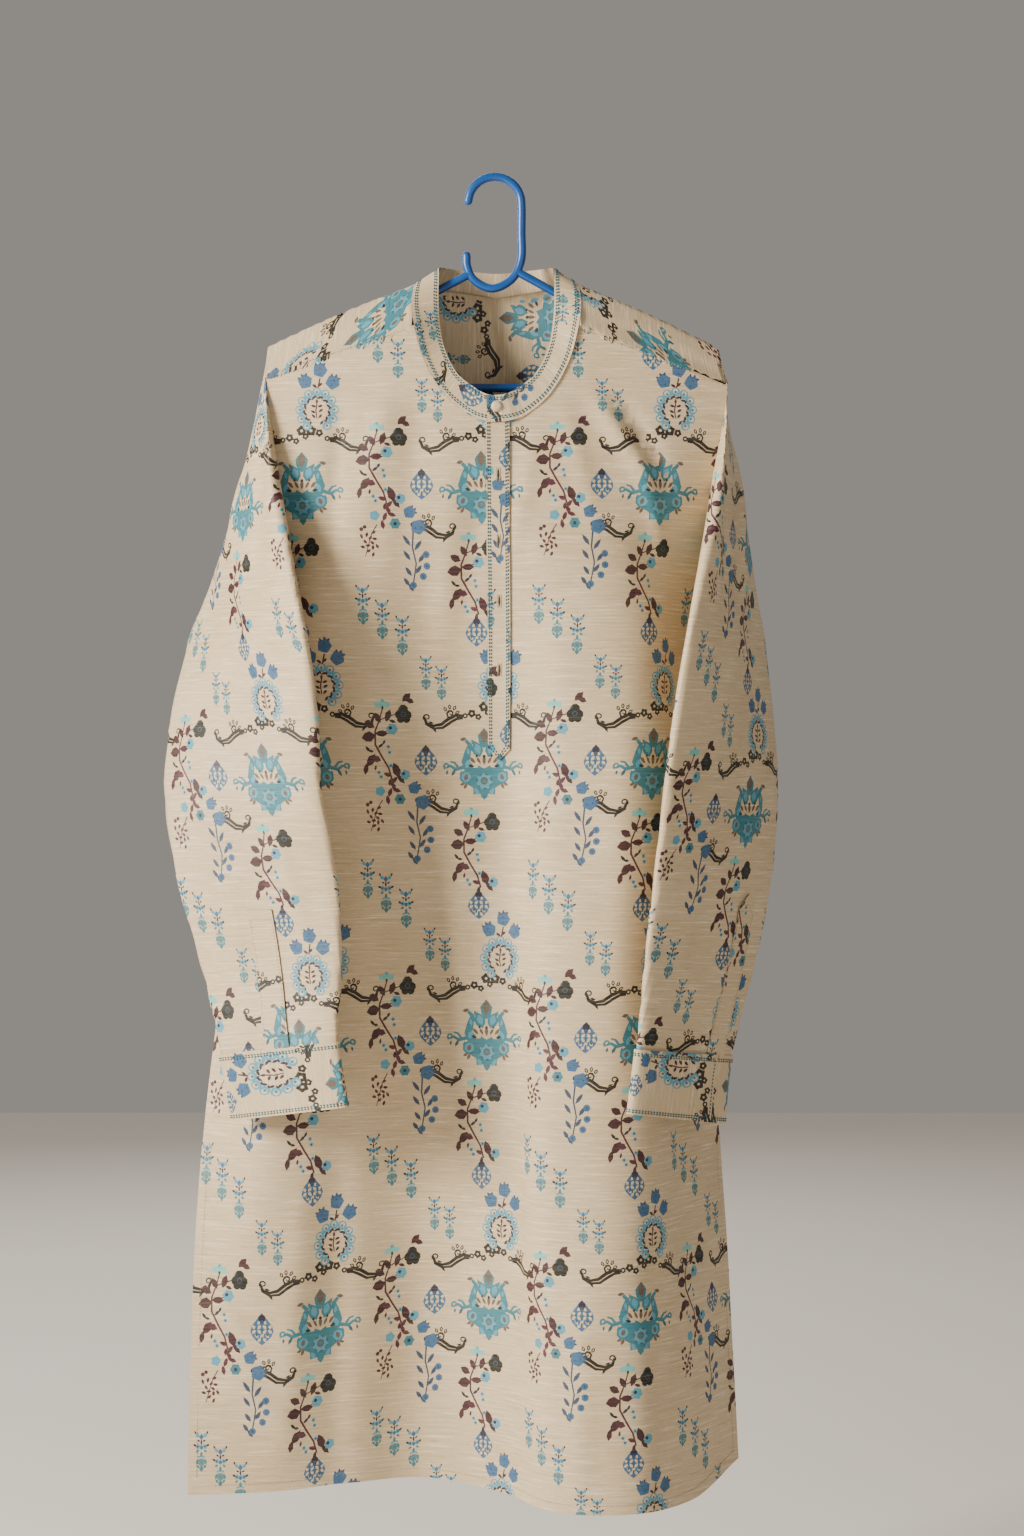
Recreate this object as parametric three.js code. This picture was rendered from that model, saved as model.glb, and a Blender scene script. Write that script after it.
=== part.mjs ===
// A straight kurta hanging on a plastic hanger.
// Millimetres, X to the wearer's left as seen from the front, Y away from the viewer, Z up.
// The origin is the inside top of the hanger's hook.
// Cloth pieces are thin walls: a grid of middle points, moved out and in by half the cloth.
import * as THREE from 'three';

// Driving dimensions
const WALL = 1.4;
const HALF_WALL = WALL / 2;
const SEAM_GAP = 0.4;
const LAYER = WALL + SEAM_GAP;
const PULL_BACK = 1.1;
const ARMHOLE_PULL = 3.2;
const STRIP_ROOM = 0.3;
const PLACKET_ROOM = 0.8;
const SIDE_ROOM = 0.3;
const CENTRE_X = 4;
const UNDERARM_Z = -377;
const HEM_Z = -1186;
const YOKE_BACK_Z = -215;
const PLACKET_WIDTH = 21;
const PLACKET_END_Z = -521;
const PLACKET_POINT = 10;
const CUFF_DEPTH = 56;
const CUFF_GAP = 0.7;
const CUFF_LAP_DEGREES = 39;
const BUTTON_RADIUS = 5;
const BUTTON_THICKNESS = 3.2;
const TUBE_RADIUS = 3.8;

// Colours
const CLOTH_COLOUR = 0xd8c5a6;
const BUTTON_COLOUR = 0xe6d6bc;
const HANGER_COLOUR = 0x235fa5;

// Named places across the front panel, as a share of its half width
const PLACES = {
  leftEdge: -1, leftOuter: -0.75, leftMid: -0.5, leftInner: -0.25, centre: 0,
  rightInner: 0.25, rightMid: 0.5, rightOuter: 0.75, rightEdge: 1,
};
const PLACE_NAMES = Object.keys(PLACES);
const PLACE_SHARES = Object.values(PLACES);

// Depth of the front panel at each place, a row for each section from the neck to the hem
const FRONT_SECTIONS = [
  { z: -110, half: 214, leftEdge: -14, leftOuter: -20, leftMid: -26, leftInner: -30, centre: -32,
    rightInner: -30, rightMid: -26, rightOuter: -20, rightEdge: -14 },
  { z: -200, half: 206, leftEdge: -20, leftOuter: -28, leftMid: -33, leftInner: -36, centre: -38,
    rightInner: -37, rightMid: -34, rightOuter: -28, rightEdge: -18 },
  { z: -300, half: 200, leftEdge: -20, leftOuter: -31, leftMid: -34, leftInner: -33, centre: -35,
    rightInner: -41, rightMid: -38, rightOuter: -24, rightEdge: 0 },
  { z: -377, half: 250, leftEdge: 32, leftOuter: -20, leftMid: -27, leftInner: -17, centre: -22,
    rightInner: -39, rightMid: -32, rightOuter: 14, rightEdge: 60 },
  { z: -450, half: 264, leftEdge: 40, leftOuter: -13, leftMid: -20, leftInner: -8, centre: -14,
    rightInner: -37, rightMid: -32, rightOuter: 18, rightEdge: 68 },
  { z: -547, half: 272, leftEdge: 40, leftOuter: -15, leftMid: -8, leftInner: 8, centre: 0,
    rightInner: -32, rightMid: -34, rightOuter: 14, rightEdge: 70 },
  { z: -746, half: 281, leftEdge: 32, leftOuter: -12, leftMid: 2, leftInner: 20, centre: 4,
    rightInner: -40, rightMid: -38, rightOuter: 18, rightEdge: 76 },
  { z: -863, half: 286, leftEdge: 20, leftOuter: -10, leftMid: 7, leftInner: 27, centre: 7,
    rightInner: -42, rightMid: -43, rightOuter: 12, rightEdge: 72 },
  { z: -1000, half: 289, leftEdge: 6, leftOuter: -5, leftMid: 12, leftInner: 33, centre: 9,
    rightInner: -41, rightMid: -45, rightOuter: 6, rightEdge: 66 },
  { z: -1186, half: 292, leftEdge: -5, leftOuter: 0, leftMid: 18, leftInner: 38, centre: 12,
    rightInner: -40, rightMid: -47, rightOuter: 0, rightEdge: 58 },
];

// Room between the front and the back panel at the same places
const BACK_ROOM = [
  { z: -110, leftEdge: 36, leftOuter: 44, leftMid: 52, leftInner: 58, centre: 60,
    rightInner: 58, rightMid: 52, rightOuter: 44, rightEdge: 36 },
  { z: -215, leftEdge: 42, leftOuter: 50, leftMid: 58, leftInner: 64, centre: 66,
    rightInner: 64, rightMid: 60, rightOuter: 52, rightEdge: 42 },
  { z: -300, leftEdge: 34, leftOuter: 46, leftMid: 58, leftInner: 62, centre: 62,
    rightInner: 60, rightMid: 58, rightOuter: 46, rightEdge: 28 },
  { z: -377, leftEdge: 0, leftOuter: 30, leftMid: 48, leftInner: 52, centre: 52,
    rightInner: 50, rightMid: 46, rightOuter: 28, rightEdge: 0 },
  { z: -547, leftEdge: 0, leftOuter: 22, leftMid: 38, leftInner: 40, centre: 46,
    rightInner: 50, rightMid: 44, rightOuter: 24, rightEdge: 0 },
  { z: -863, leftEdge: 0, leftOuter: 16, leftMid: 26, leftInner: 20, centre: 40,
    rightInner: 50, rightMid: 42, rightOuter: 20, rightEdge: 0 },
  { z: -1186, leftEdge: 4, leftOuter: 16, leftMid: 22, leftInner: 12, centre: 34,
    rightInner: 48, rightMid: 38, rightOuter: 20, rightEdge: 6 },
];

// How far the cut hem rises above its level at each place
const HEM_RISE = {
  leftEdge: 5, leftOuter: 7, leftMid: 10, leftInner: 10, centre: 4,
  rightInner: 0, rightMid: 0, rightOuter: 2, rightEdge: 22,
};

// Neck seam and the free edge of the neckband on one side, from the middle front to the middle back
const NECK = [
  { name: 'front', x: 0, y: -38, z: -219, topX: 0, topY: -38, topZ: -198 },
  { name: 'placket edge', x: 12, y: -38, z: -217.5, topX: 8, topY: -38, topZ: -197 },
  { name: 'front curve', x: 24, y: -38, z: -213, topX: 16, topY: -37, topZ: -193 },
  { name: 'lower side', x: 45, y: -36, z: -195, topX: 34, topY: -34, topZ: -179 },
  { name: 'side', x: 62, y: -33, z: -166, topX: 46, topY: -29, topZ: -156 },
  { name: 'yoke seam', x: 71, y: -29, z: -135, topX: 51, topY: -22, topZ: -132 },
  { name: 'upper side', x: 73, y: -19, z: -111, topX: 52, topY: -15, topZ: -106 },
  { name: 'shoulder front', x: 70, y: -7, z: -95, topX: 51, topY: -7, topZ: -85 },
  { name: 'shoulder', x: 66, y: 6, z: -90, topX: 50, topY: 5, topZ: -78 },
  { name: 'back side', x: 42, y: 24, z: -97, topX: 36, topY: 21, topZ: -76 },
  { name: 'back', x: 0, y: 31, z: -101, topX: 0, topY: 29, topZ: -78 },
];
const YOKE_SEAM_ROW = NECK.findIndex((row) => row.name === 'yoke seam');
const NECK_CENTRE_Z = -135;

// Shoulder ends and the outer ends of the front yoke seams
const SHOULDERS = {
  left: { side: -1, ridgeX: -203, ridgeZ: -150, seamZ: -178 },
  right: { side: 1, ridgeX: 199, ridgeZ: -152, seamZ: -188 },
};

// A sleeve is a flattened tube between its front fold and its outer fold
const SLEEVE_SECTIONS = {
  left: [
    { z: -400, foldX: -167, foldY: -79, outerX: -281, outerY: 80, thick: 20, tilt: 0 },
    { z: -470, foldX: -156, foldY: -77, outerX: -294, outerY: 45, thick: 20, tilt: 0 },
    { z: -545, foldX: -152, foldY: -72, outerX: -299, outerY: 15, thick: 20, tilt: 0 },
    { z: -620, foldX: -139, foldY: -68, outerX: -287, outerY: -4, thick: 18, tilt: 2 },
    { z: -700, foldX: -134, foldY: -68, outerX: -264, outerY: -6, thick: 16, tilt: 5 },
    { z: -776, foldX: -137, foldY: -73, outerX: -243, outerY: -22, thick: 14, tilt: 8 },
    { z: -833, foldX: -129, foldY: -74, outerX: -232, outerY: -20, thick: 14, tilt: 9 },
  ],
  right: [
    { z: -400, foldX: 171, foldY: -80, outerX: 247, outerY: 88, thick: 20, tilt: 0 },
    { z: -470, foldX: 159, foldY: -79, outerX: 254, outerY: 76, thick: 20, tilt: 0 },
    { z: -545, foldX: 149, foldY: -78, outerX: 258, outerY: 55, thick: 20, tilt: 0 },
    { z: -620, foldX: 140, foldY: -78, outerX: 252, outerY: 38, thick: 18, tilt: 2 },
    { z: -700, foldX: 131, foldY: -80, outerX: 235, outerY: 22, thick: 16, tilt: 4 },
    { z: -781, foldX: 124, foldY: -82, outerX: 211, outerY: -3, thick: 14, tilt: 7 },
    { z: -838, foldX: 117, foldY: -84, outerX: 204, outerY: -8, thick: 14, tilt: 9 },
  ],
};
const SLEEVE_RING = 20;
const CAP_ROWS = 6;
const ARMHOLE_STEPS = 7;
const CAP_BULGE = 7;
const TUBE_ROWS = 13;

// The strip over each sleeve slit: its height and its place round the sleeve
const SLEEVE_PLACKETS = {
  left: { length: 122, width: 25, place: 0.02, point: 0 },
  right: { length: 140, width: 23, place: -0.26, point: 12 },
};

// Where each cuff's over end lies, as an angle round the cuff from the middle of its outer face
const CUFF_ENDS = { left: 200, right: -34 };

// Hanger
const HOOK_RADIUS = 24;
const HOOK_CENTRE = { x: -0.5, z: -20 };
const STEM_BOTTOM_Z = -72;
const BAR_Z = -186;
const ARM_INNER = { leftX: -28, leftZ: -83, rightX: 25.6, rightZ: -81 };
const ARM_END = { leftX: -194, leftZ: -162, rightX: 190, rightZ: -164 };
const HANGER_STEPS = 10;

// Smooth curve through given places, with slopes taken from the neighbours
function curve(places, values, at) {
  const last = places.length - 1;
  if (at <= places[0]) return values[0];
  if (at >= places[last]) return values[last];
  let i = 0;
  while (at > places[i + 1]) i += 1;
  const slope = (k) => {
    const a = Math.max(k - 1, 0);
    const b = Math.min(k + 1, last);
    return (values[b] - values[a]) / (places[b] - places[a]);
  };
  const span = places[i + 1] - places[i];
  const s = (at - places[i]) / span;
  const rise = s * s * (3 - 2 * s);
  const bend = s * (1 - s);
  return values[i] * (1 - rise) + values[i + 1] * rise
    + span * bend * ((1 - s) * slope(i) - s * slope(i + 1));
}

// Curves down a table of sections: the rows run from the top downwards
const down = (rows, column, z) => curve(rows.map((row) => -row.z), rows.map((row) => row[column]), -z);
const across = (rows, share, z) =>
  curve(PLACE_SHARES, PLACE_NAMES.map((name) => down(rows, name, z)), share);

const halfWidth = (z) => down(FRONT_SECTIONS, 'half', z);
const hemZ = (share) => HEM_Z + curve(PLACE_SHARES, PLACE_NAMES.map((name) => HEM_RISE[name]), share);

// One section of the front panel: flat cloth laid along its folds, from the middle outwards
const SECTION_STEPS = 32;
const sectionStore = new Map();
function section(z) {
  const key = z.toFixed(3);
  if (sectionStore.has(key)) return sectionStore.get(key);
  const half = halfWidth(z);
  const step = half / SECTION_STEPS;
  const depths = [];
  for (let i = -SECTION_STEPS; i <= SECTION_STEPS; i += 1) {
    depths.push(across(FRONT_SECTIONS, i / SECTION_STEPS, z));
  }
  const runs = [0];
  for (let i = 1; i < depths.length; i += 1) {
    const rise = Math.min(Math.abs(depths[i] - depths[i - 1]) / step, 0.96);
    runs.push(runs[i - 1] + step * Math.sqrt(1 - rise * rise));
  }
  const middle = runs[SECTION_STEPS];
  const made = { half, step, xs: runs.map((run) => CENTRE_X * Math.min(1, -z / 400) + run - middle) };
  sectionStore.set(key, made);
  return made;
}

// A point of the front panel at a distance from its middle line and a height
function frontPoint(flat, z) {
  const { half, step, xs } = section(z);
  const at = flat / step + SECTION_STEPS;
  const i = Math.min(Math.max(Math.floor(at), 0), 2 * SECTION_STEPS - 1);
  const x = xs[i] + (xs[i + 1] - xs[i]) * (at - i);
  return new THREE.Vector3(x, across(FRONT_SECTIONS, flat / half, z), z);
}

// The back panel lies one layer behind the front, and further where the room between them grows
function backPoint(flat, z) {
  const here = frontPoint(flat, z);
  const side = frontPoint(flat + 1, z).sub(frontPoint(flat - 1, z)).setZ(0).normalize();
  const room = Math.max(across(BACK_ROOM, flat / halfWidth(z), z), 0);
  here.x -= side.y * (LAYER + SIDE_ROOM);
  here.y += side.x * (LAYER + SIDE_ROOM) + room;
  return here;
}

// Geometry helpers
function surfaceNormals(grid, wrap) {
  const rows = grid.length;
  const columns = grid[0].length;
  return grid.map((row, r) => row.map((point, c) => {
    const before = wrap ? (c + columns - 1) % columns : Math.max(c - 1, 0);
    const after = wrap ? (c + 1) % columns : Math.min(c + 1, columns - 1);
    const alongRow = row[after].clone().sub(row[before]);
    const above = grid[Math.max(r - 1, 0)][c];
    const below = grid[Math.min(r + 1, rows - 1)][c];
    return below.clone().sub(above).cross(alongRow).normalize();
  }));
}

// Moves a grid along its own normals: positive is towards the outside
function lift(grid, distance, wrap = false) {
  const normals = surfaceNormals(grid, wrap);
  return grid.map((row, r) => row.map((point, c) => point.clone().addScaledVector(normals[r][c], distance)));
}

// Closes a grid of middle points into a thin solid wall
function wall(grid, wrap = false) {
  const rows = grid.length;
  const columns = grid[0].length;
  const outer = lift(grid, HALF_WALL, wrap).flat();
  const inner = lift(grid, -HALF_WALL, wrap).flat();
  const shift = outer.length;
  const faces = [];
  const quad = (a, b, c, d) => faces.push(a, b, c, a, c, d);
  const columnCount = wrap ? columns : columns - 1;
  for (let r = 0; r < rows - 1; r += 1) {
    for (let c = 0; c < columnCount; c += 1) {
      const next = (c + 1) % columns;
      const a = r * columns + c;
      const b = r * columns + next;
      const d = (r + 1) * columns + c;
      const e = (r + 1) * columns + next;
      quad(a, d, e, b);
      quad(a + shift, b + shift, e + shift, d + shift);
    }
  }
  for (let c = 0; c < columnCount; c += 1) {
    const next = (c + 1) % columns;
    const low = (rows - 1) * columns;
    quad(c, next, next + shift, c + shift);
    quad(low + next, low + c, low + c + shift, low + next + shift);
  }
  for (let r = 0; r < rows - 1 && !wrap; r += 1) {
    const a = r * columns;
    const b = (r + 1) * columns;
    const end = columns - 1;
    quad(b, a, a + shift, b + shift);
    quad(a + end, b + end, b + end + shift, a + end + shift);
  }
  return solid([...outer, ...inner], faces);
}

function solid(points, faces) {
  const geometry = new THREE.BufferGeometry();
  const positions = points.flatMap((point) => [point.x, point.y, point.z]);
  geometry.setAttribute('position', new THREE.Float32BufferAttribute(positions, 3));
  geometry.setIndex(faces);
  geometry.computeVertexNormals();
  return geometry;
}

const mix = (a, b, share) => a.clone().lerp(b, share);
const steps = (count) => Array.from({ length: count + 1 }, (_, i) => i / count);

function cloth(name, geometry) {
  const material = new THREE.MeshStandardMaterial({ color: CLOTH_COLOUR, roughness: 0.55, metalness: 0 });
  material.name = 'cloth';
  const mesh = new THREE.Mesh(geometry, material);
  mesh.name = name;
  return mesh;
}

// Seam lines shared by neighbouring pieces
function neckSeam(side, row) {
  const { x, y, z } = NECK[row];
  if (row > YOKE_SEAM_ROW) return new THREE.Vector3(side * x + 1, y, z);
  return frontPoint(side * x, z);
}

// Height of the front yoke seam at a distance from the middle line
function yokeSeamZ(flat) {
  const shoulder = flat < 0 ? SHOULDERS.left : SHOULDERS.right;
  const start = NECK[YOKE_SEAM_ROW];
  const share = (Math.abs(flat) - start.x) / (halfWidth(shoulder.seamZ) - start.x);
  return start.z + share * (shoulder.seamZ - start.z);
}

const ridgeEnd = (shoulder) => new THREE.Vector3(shoulder.ridgeX, 0, shoulder.ridgeZ);

// The armhole seam as a loop: shoulder ridge, front yoke end, front edge, underarm, back edge, ridge
function armhole(shoulder) {
  const { side, seamZ } = shoulder;
  const ridge = ridgeEnd(shoulder);
  const edge = (point, z) => point(side * halfWidth(z), z);
  const frontYoke = edge(frontPoint, seamZ);
  const backYoke = edge(backPoint, YOKE_BACK_Z);
  const underarm = mix(edge(frontPoint, UNDERARM_Z), edge(backPoint, UNDERARM_Z), 0.5);
  underarm.x += side * PULL_BACK;
  const loop = [ridge, mix(ridge, frontYoke, 0.36), mix(ridge, frontYoke, 0.7), frontYoke];
  loop[1].y -= 2;
  loop[2].y -= 1;
  for (let i = 1; i < ARMHOLE_STEPS; i += 1) {
    loop.push(edge(frontPoint, seamZ + (UNDERARM_Z - seamZ) * i / ARMHOLE_STEPS));
  }
  loop.push(underarm);
  for (let i = ARMHOLE_STEPS - 1; i > 0; i -= 1) {
    loop.push(edge(backPoint, YOKE_BACK_Z + (UNDERARM_Z - YOKE_BACK_Z) * i / ARMHOLE_STEPS));
  }
  loop.push(backYoke, mix(backYoke, ridge, 0.4), mix(backYoke, ridge, 0.75));
  return loop;
}

// Front panel
const LOWER_ROWS = 15;
const SIDE_COLUMNS = 6;
function frontColumns() {
  const neck = NECK.slice(0, YOKE_SEAM_ROW + 1);
  const right = neck.map(({ x, z }) => {
    const out = new THREE.Vector2(x, z - NECK_CENTRE_Z).normalize().multiplyScalar(PULL_BACK);
    const top = z + out.y - (x === NECK[YOKE_SEAM_ROW].x ? PULL_BACK : 0);
    return { share: (x + out.x) / halfWidth(z), top };
  });
  const start = right[right.length - 1].share;
  const outer = steps(SIDE_COLUMNS).slice(1).map((s) => ({ share: start + (1 - start) * s }));
  const half = [...right, ...outer];
  const seamTop = (share) => {
    let z = SHOULDERS.left.seamZ;
    for (let i = 0; i < 4; i += 1) z = yokeSeamZ(share * halfWidth(z));
    return z - PULL_BACK;
  };
  const make = (side) => half.map(({ share, top }) => ({
    share: side * share, top: top ?? seamTop(side * share),
  }));
  return [...make(-1).reverse().slice(0, -1), ...make(1)];
}

function panelFlat(share, z) {
  const pull = z > UNDERARM_Z - 1 ? ARMHOLE_PULL : 0;
  return share * (halfWidth(z) - pull);
}

function frontGrid() {
  const upper = steps(ARMHOLE_STEPS);
  const lower = steps(LOWER_ROWS).slice(1);
  const columns = frontColumns();
  const between = ({ share }, from, to, s) => {
    const z = from + (to - from) * s;
    return frontPoint(panelFlat(share, z), z);
  };
  return [
    ...upper.map((s) => columns.map((column) => between(column, column.top, UNDERARM_Z, s))),
    ...lower.map((s) => columns.map((column) => between(column, UNDERARM_Z, hemZ(column.share), s))),
  ];
}

// Back panel
const MIDDLE_COLUMNS = 6;
function backGrid() {
  const top = YOKE_BACK_Z - PULL_BACK;
  const start = NECK[YOKE_SEAM_ROW].x / halfWidth(NECK[YOKE_SEAM_ROW].z);
  const outer = steps(SIDE_COLUMNS).slice(1).map((s) => start + (1 - start) * s);
  const middle = steps(MIDDLE_COLUMNS).map((s) => start * (2 * s - 1));
  const shares = [...outer.map((share) => -share).reverse(), ...middle, ...outer];
  const point = (share, z) => backPoint(panelFlat(share, z), z);
  return [
    ...steps(ARMHOLE_STEPS).map((s) => shares.map((share) => point(share, top + (UNDERARM_Z - top) * s))),
    ...steps(LOWER_ROWS).slice(1).map((s) => shares.map((share) =>
      point(share, UNDERARM_Z + (hemZ(share) - 4 - UNDERARM_Z) * s))),
  ].map((row) => row.reverse());
}

// Yoke: from the front seam of one shoulder round the back of the neck to the other
const YOKE_ROWS = 6;
function yokeSide(shoulder) {
  const { side } = shoulder;
  const loop = armhole(shoulder);
  const seam = (share) => {
    const start = NECK[YOKE_SEAM_ROW].x;
    const flat = side * (start + share * (halfWidth(shoulder.seamZ) - PULL_BACK - start));
    return frontPoint(flat, yokeSeamZ(flat));
  };
  const shares = steps(YOKE_ROWS);
  const inset = (point) => point.clone().setX(point.x - side * PULL_BACK * 1.6);
  const ruled = (inner, outer, bulge) => shares.map((s) => {
    const point = mix(inner, outer, s);
    point.z += bulge * Math.sin(Math.PI * s);
    return point;
  });
  const neck = (share) => {
    const place = YOKE_SEAM_ROW + 1 + share;
    const row = Math.min(Math.floor(place), NECK.length - 2);
    return mix(neckSeam(side, row), neckSeam(side, row + 1), place - row);
  };
  const backSeam = (share) => {
    const z = YOKE_BACK_Z;
    return backPoint(side * share * (halfWidth(z) - PULL_BACK), z);
  };
  return [
    shares.map(seam),
    ruled(mix(neckSeam(side, YOKE_SEAM_ROW), neck(0), 0.55), inset(loop[2]), 1),
    ruled(neck(0), inset(loop[1]), 2),
    ruled(neck(1), inset(loop[0]), 3),
    ruled(neck(1.3), inset(loop[19]), 2),
    ruled(neck(1.6), inset(loop[18]), 1),
    ruled(neck(1.9), backSeam(1), 0),
    ruled(neck(2.2), backSeam(0.75), 0),
    ruled(neck(2.45), backSeam(0.5), 0),
    ruled(neck(2.7), backSeam(0.25), 0),
  ];
}

function yokeGrid() {
  const middle = steps(YOKE_ROWS).map((s) =>
    mix(neckSeam(1, NECK.length - 1), backPoint(0, YOKE_BACK_Z), s));
  const columns = [...yokeSide(SHOULDERS.left), middle, ...yokeSide(SHOULDERS.right).reverse()];
  return steps(YOKE_ROWS).map((_, r) => columns.map((column) => column[r])).reverse();
}

// Neckband: a strip from its under end round the back of the neck to its over end
const BAND_ROWS = 3;
const BAND_LAP = 9;
function neckbandGrid() {
  const column = (side, row, shift = 0, raise = 0) => {
    const seam = neckSeam(side, row);
    const { topX, topY, topZ } = NECK[row];
    const top = new THREE.Vector3(side * topX + 1, topY, topZ);
    const start = mix(seam, top, PULL_BACK / seam.distanceTo(top));
    return steps(BAND_ROWS).map((s) => {
      const point = mix(start, top, s);
      point.x += shift;
      point.y -= raise;
      return point;
    });
  };
  const lastRow = NECK.length - 1;
  const left = NECK.slice(1).map((_, i) => column(-1, i + 1));
  const right = NECK.slice(1, lastRow).map((_, i) => column(1, i + 1, 0, i === 0 ? LAYER : 0)).reverse();
  const columns = [
    column(-1, 0, BAND_LAP), column(-1, 0), ...left, ...right,
    column(1, 0, 0, LAYER), column(1, 0, -BAND_LAP, LAYER),
  ];
  return steps(BAND_ROWS).map((_, r) => columns.map((points) => points[r])).reverse();
}

// Placket: a strip made from the front panel's points, moved out, with a pointed lower end
function placketGrid() {
  const top = NECK[0].z - PULL_BACK;
  const grid = steps(16).map((s) => [-1, -0.5, 0, 0.5, 1].map((place) => {
    const end = PLACKET_END_Z + PLACKET_POINT * Math.abs(place);
    return frontPoint(place * PLACKET_WIDTH / 2, top + (end - top) * s);
  }));
  return lift(grid, LAYER + PLACKET_ROOM);
}

// Sleeves
function sleeveRing(side, rows, z) {
  const at = (column) => down(rows, column, z);
  const fold = new THREE.Vector3(at('foldX'), at('foldY'), z + at('tilt'));
  const outer = new THREE.Vector3(at('outerX'), at('outerY'), z - at('tilt'));
  const centre = mix(fold, outer, 0.5);
  const long = fold.clone().sub(centre);
  const short = new THREE.Vector3(long.y, -long.x, 0).normalize().multiplyScalar(-side * at('thick') / 2);
  return (angle) => {
    const round = Math.cos(angle);
    const fullness = Math.sign(round) * Math.abs(round) ** 0.75;
    return centre.clone().addScaledVector(long, Math.sin(angle)).addScaledVector(short, fullness);
  };
}

const ringAngles = steps(SLEEVE_RING).slice(0, -1).map((s) => 2 * Math.PI * s);

function sleeveGrid(shoulder, rows) {
  const start = armhole(shoulder);
  const first = sleeveRing(shoulder.side, rows, rows[0].z);
  const endZ = rows[rows.length - 2].z;
  const cap = steps(CAP_ROWS).slice(0, -1).map((s) => ringAngles.map((angle, i) => {
    const point = mix(start[i], first(angle), s);
    const outward = Math.max(Math.cos(angle), 0) * CAP_BULGE * Math.sin(Math.PI * s);
    point.x += shoulder.side * outward;
    point.y -= Math.max(Math.sin(angle), 0) * CAP_BULGE * Math.sin(Math.PI * s);
    return point;
  }));
  const tube = steps(TUBE_ROWS).map((s) => {
    const ring = sleeveRing(shoulder.side, rows, rows[0].z + (endZ - rows[0].z) * s);
    return ringAngles.map(ring);
  });
  const grid = [...cap, ...tube];
  return shoulder.side < 0 ? grid : grid.map((row) => [row[0], ...row.slice(1).reverse()]);
}

// Cuff: a strip that goes once round and laps over its own start
const CUFF_STEPS = 26;
function cuffGrid(shoulder, rows, endAngle) {
  const topZ = rows[rows.length - 2].z - CUFF_GAP;
  const degrees = Math.PI / 180;
  const turn = 360 + CUFF_LAP_DEGREES;
  const grid = steps(3).map((v) => {
    const ring = sleeveRing(shoulder.side, rows, topZ - CUFF_DEPTH * v);
    return steps(CUFF_STEPS).map((s) => {
      const angle = endAngle + (1 - s) * turn;
      return ring(angle * degrees);
    });
  });
  const ordered = shoulder.side < 0 ? grid.map((row) => row.slice().reverse()) : grid;
  const normals = surfaceNormals(ordered, false);
  return ordered.map((row, r) => row.map((point, c) => {
    const share = shoulder.side < 0 ? 1 - c / CUFF_STEPS : c / CUFF_STEPS;
    const raise = LAYER * Math.min(Math.max((share - 0.55) / 0.33, 0), 1);
    return point.clone().addScaledVector(normals[r][c], raise);
  }));
}

// The strip over a sleeve slit, made from the sleeve's own points
function sleevePlacketGrid(shoulder, rows, strip) {
  const endZ = rows[rows.length - 2].z + 1;
  const grid = steps(8).map((v) => [-1, -0.5, 0, 0.5, 1].map((place) => {
    const z = endZ + strip.length * (1 - v) - strip.point * Math.abs(place) * (1 - v);
    const ring = sleeveRing(shoulder.side, rows, z);
    const wide = ring(Math.PI / 2).distanceTo(ring(-Math.PI / 2));
    const shareAcross = 2 * strip.place - place * shoulder.side * strip.width / wide;
    return ring(Math.asin(Math.min(Math.max(shareAcross, -0.97), 0.97)));
  }));
  return lift(grid, LAYER + STRIP_ROOM);
}

// Collar button: a domed disc that stands on the neckband's over end
function collarButton() {
  const profile = [
    new THREE.Vector2(0, 0), new THREE.Vector2(BUTTON_RADIUS, 0),
    new THREE.Vector2(BUTTON_RADIUS, BUTTON_THICKNESS * 0.4),
    new THREE.Vector2(BUTTON_RADIUS * 0.8, BUTTON_THICKNESS * 0.8),
    new THREE.Vector2(BUTTON_RADIUS * 0.4, BUTTON_THICKNESS * 0.97),
    new THREE.Vector2(0, BUTTON_THICKNESS),
  ];
  const material = new THREE.MeshStandardMaterial({ color: BUTTON_COLOUR, roughness: 0.6, metalness: 0 });
  material.name = 'button';
  const mesh = new THREE.Mesh(new THREE.LatheGeometry(profile, 16), material);
  mesh.name = 'collar_button';
  mesh.rotation.x = Math.PI;
  mesh.position.set(1.5, frontPoint(0, NECK[0].z).y - LAYER - HALF_WALL - SEAM_GAP, -208);
  return mesh;
}

// Hanger
const flatPoint = (x, z) => new THREE.Vector3(x, 0, z);

function tube(name, points, count) {
  const path = new THREE.CatmullRomCurve3(points, false, 'centripetal');
  const circle = new THREE.Shape();
  circle.absarc(0, 0, TUBE_RADIUS, 0, 2 * Math.PI);
  const options = { steps: count, extrudePath: path, curveSegments: 4, bevelEnabled: false };
  const material = new THREE.MeshStandardMaterial({ color: HANGER_COLOUR, roughness: 0.35, metalness: 0 });
  material.name = 'hanger';
  const mesh = new THREE.Mesh(new THREE.ExtrudeGeometry(circle, options), material);
  mesh.name = name;
  return mesh;
}

function hook() {
  const { x, z } = HOOK_CENTRE;
  const arch = steps(HANGER_STEPS).map((s) => {
    const angle = 0.97 * Math.PI * (1 - s);
    return flatPoint(x + HOOK_RADIUS * Math.cos(angle), z + HOOK_RADIUS * Math.sin(angle));
  });
  const stemX = x + HOOK_RADIUS;
  const cradle = [
    flatPoint(stemX, -45), flatPoint(stemX - 0.5, STEM_BOTTOM_Z), flatPoint(15, -88), flatPoint(-3, -96.5),
    flatPoint(-20, -88), flatPoint(-25.5, -76), flatPoint(-26, -67),
  ];
  return tube('hanger_hook', [...arch, ...cradle], 44);
}

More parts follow.
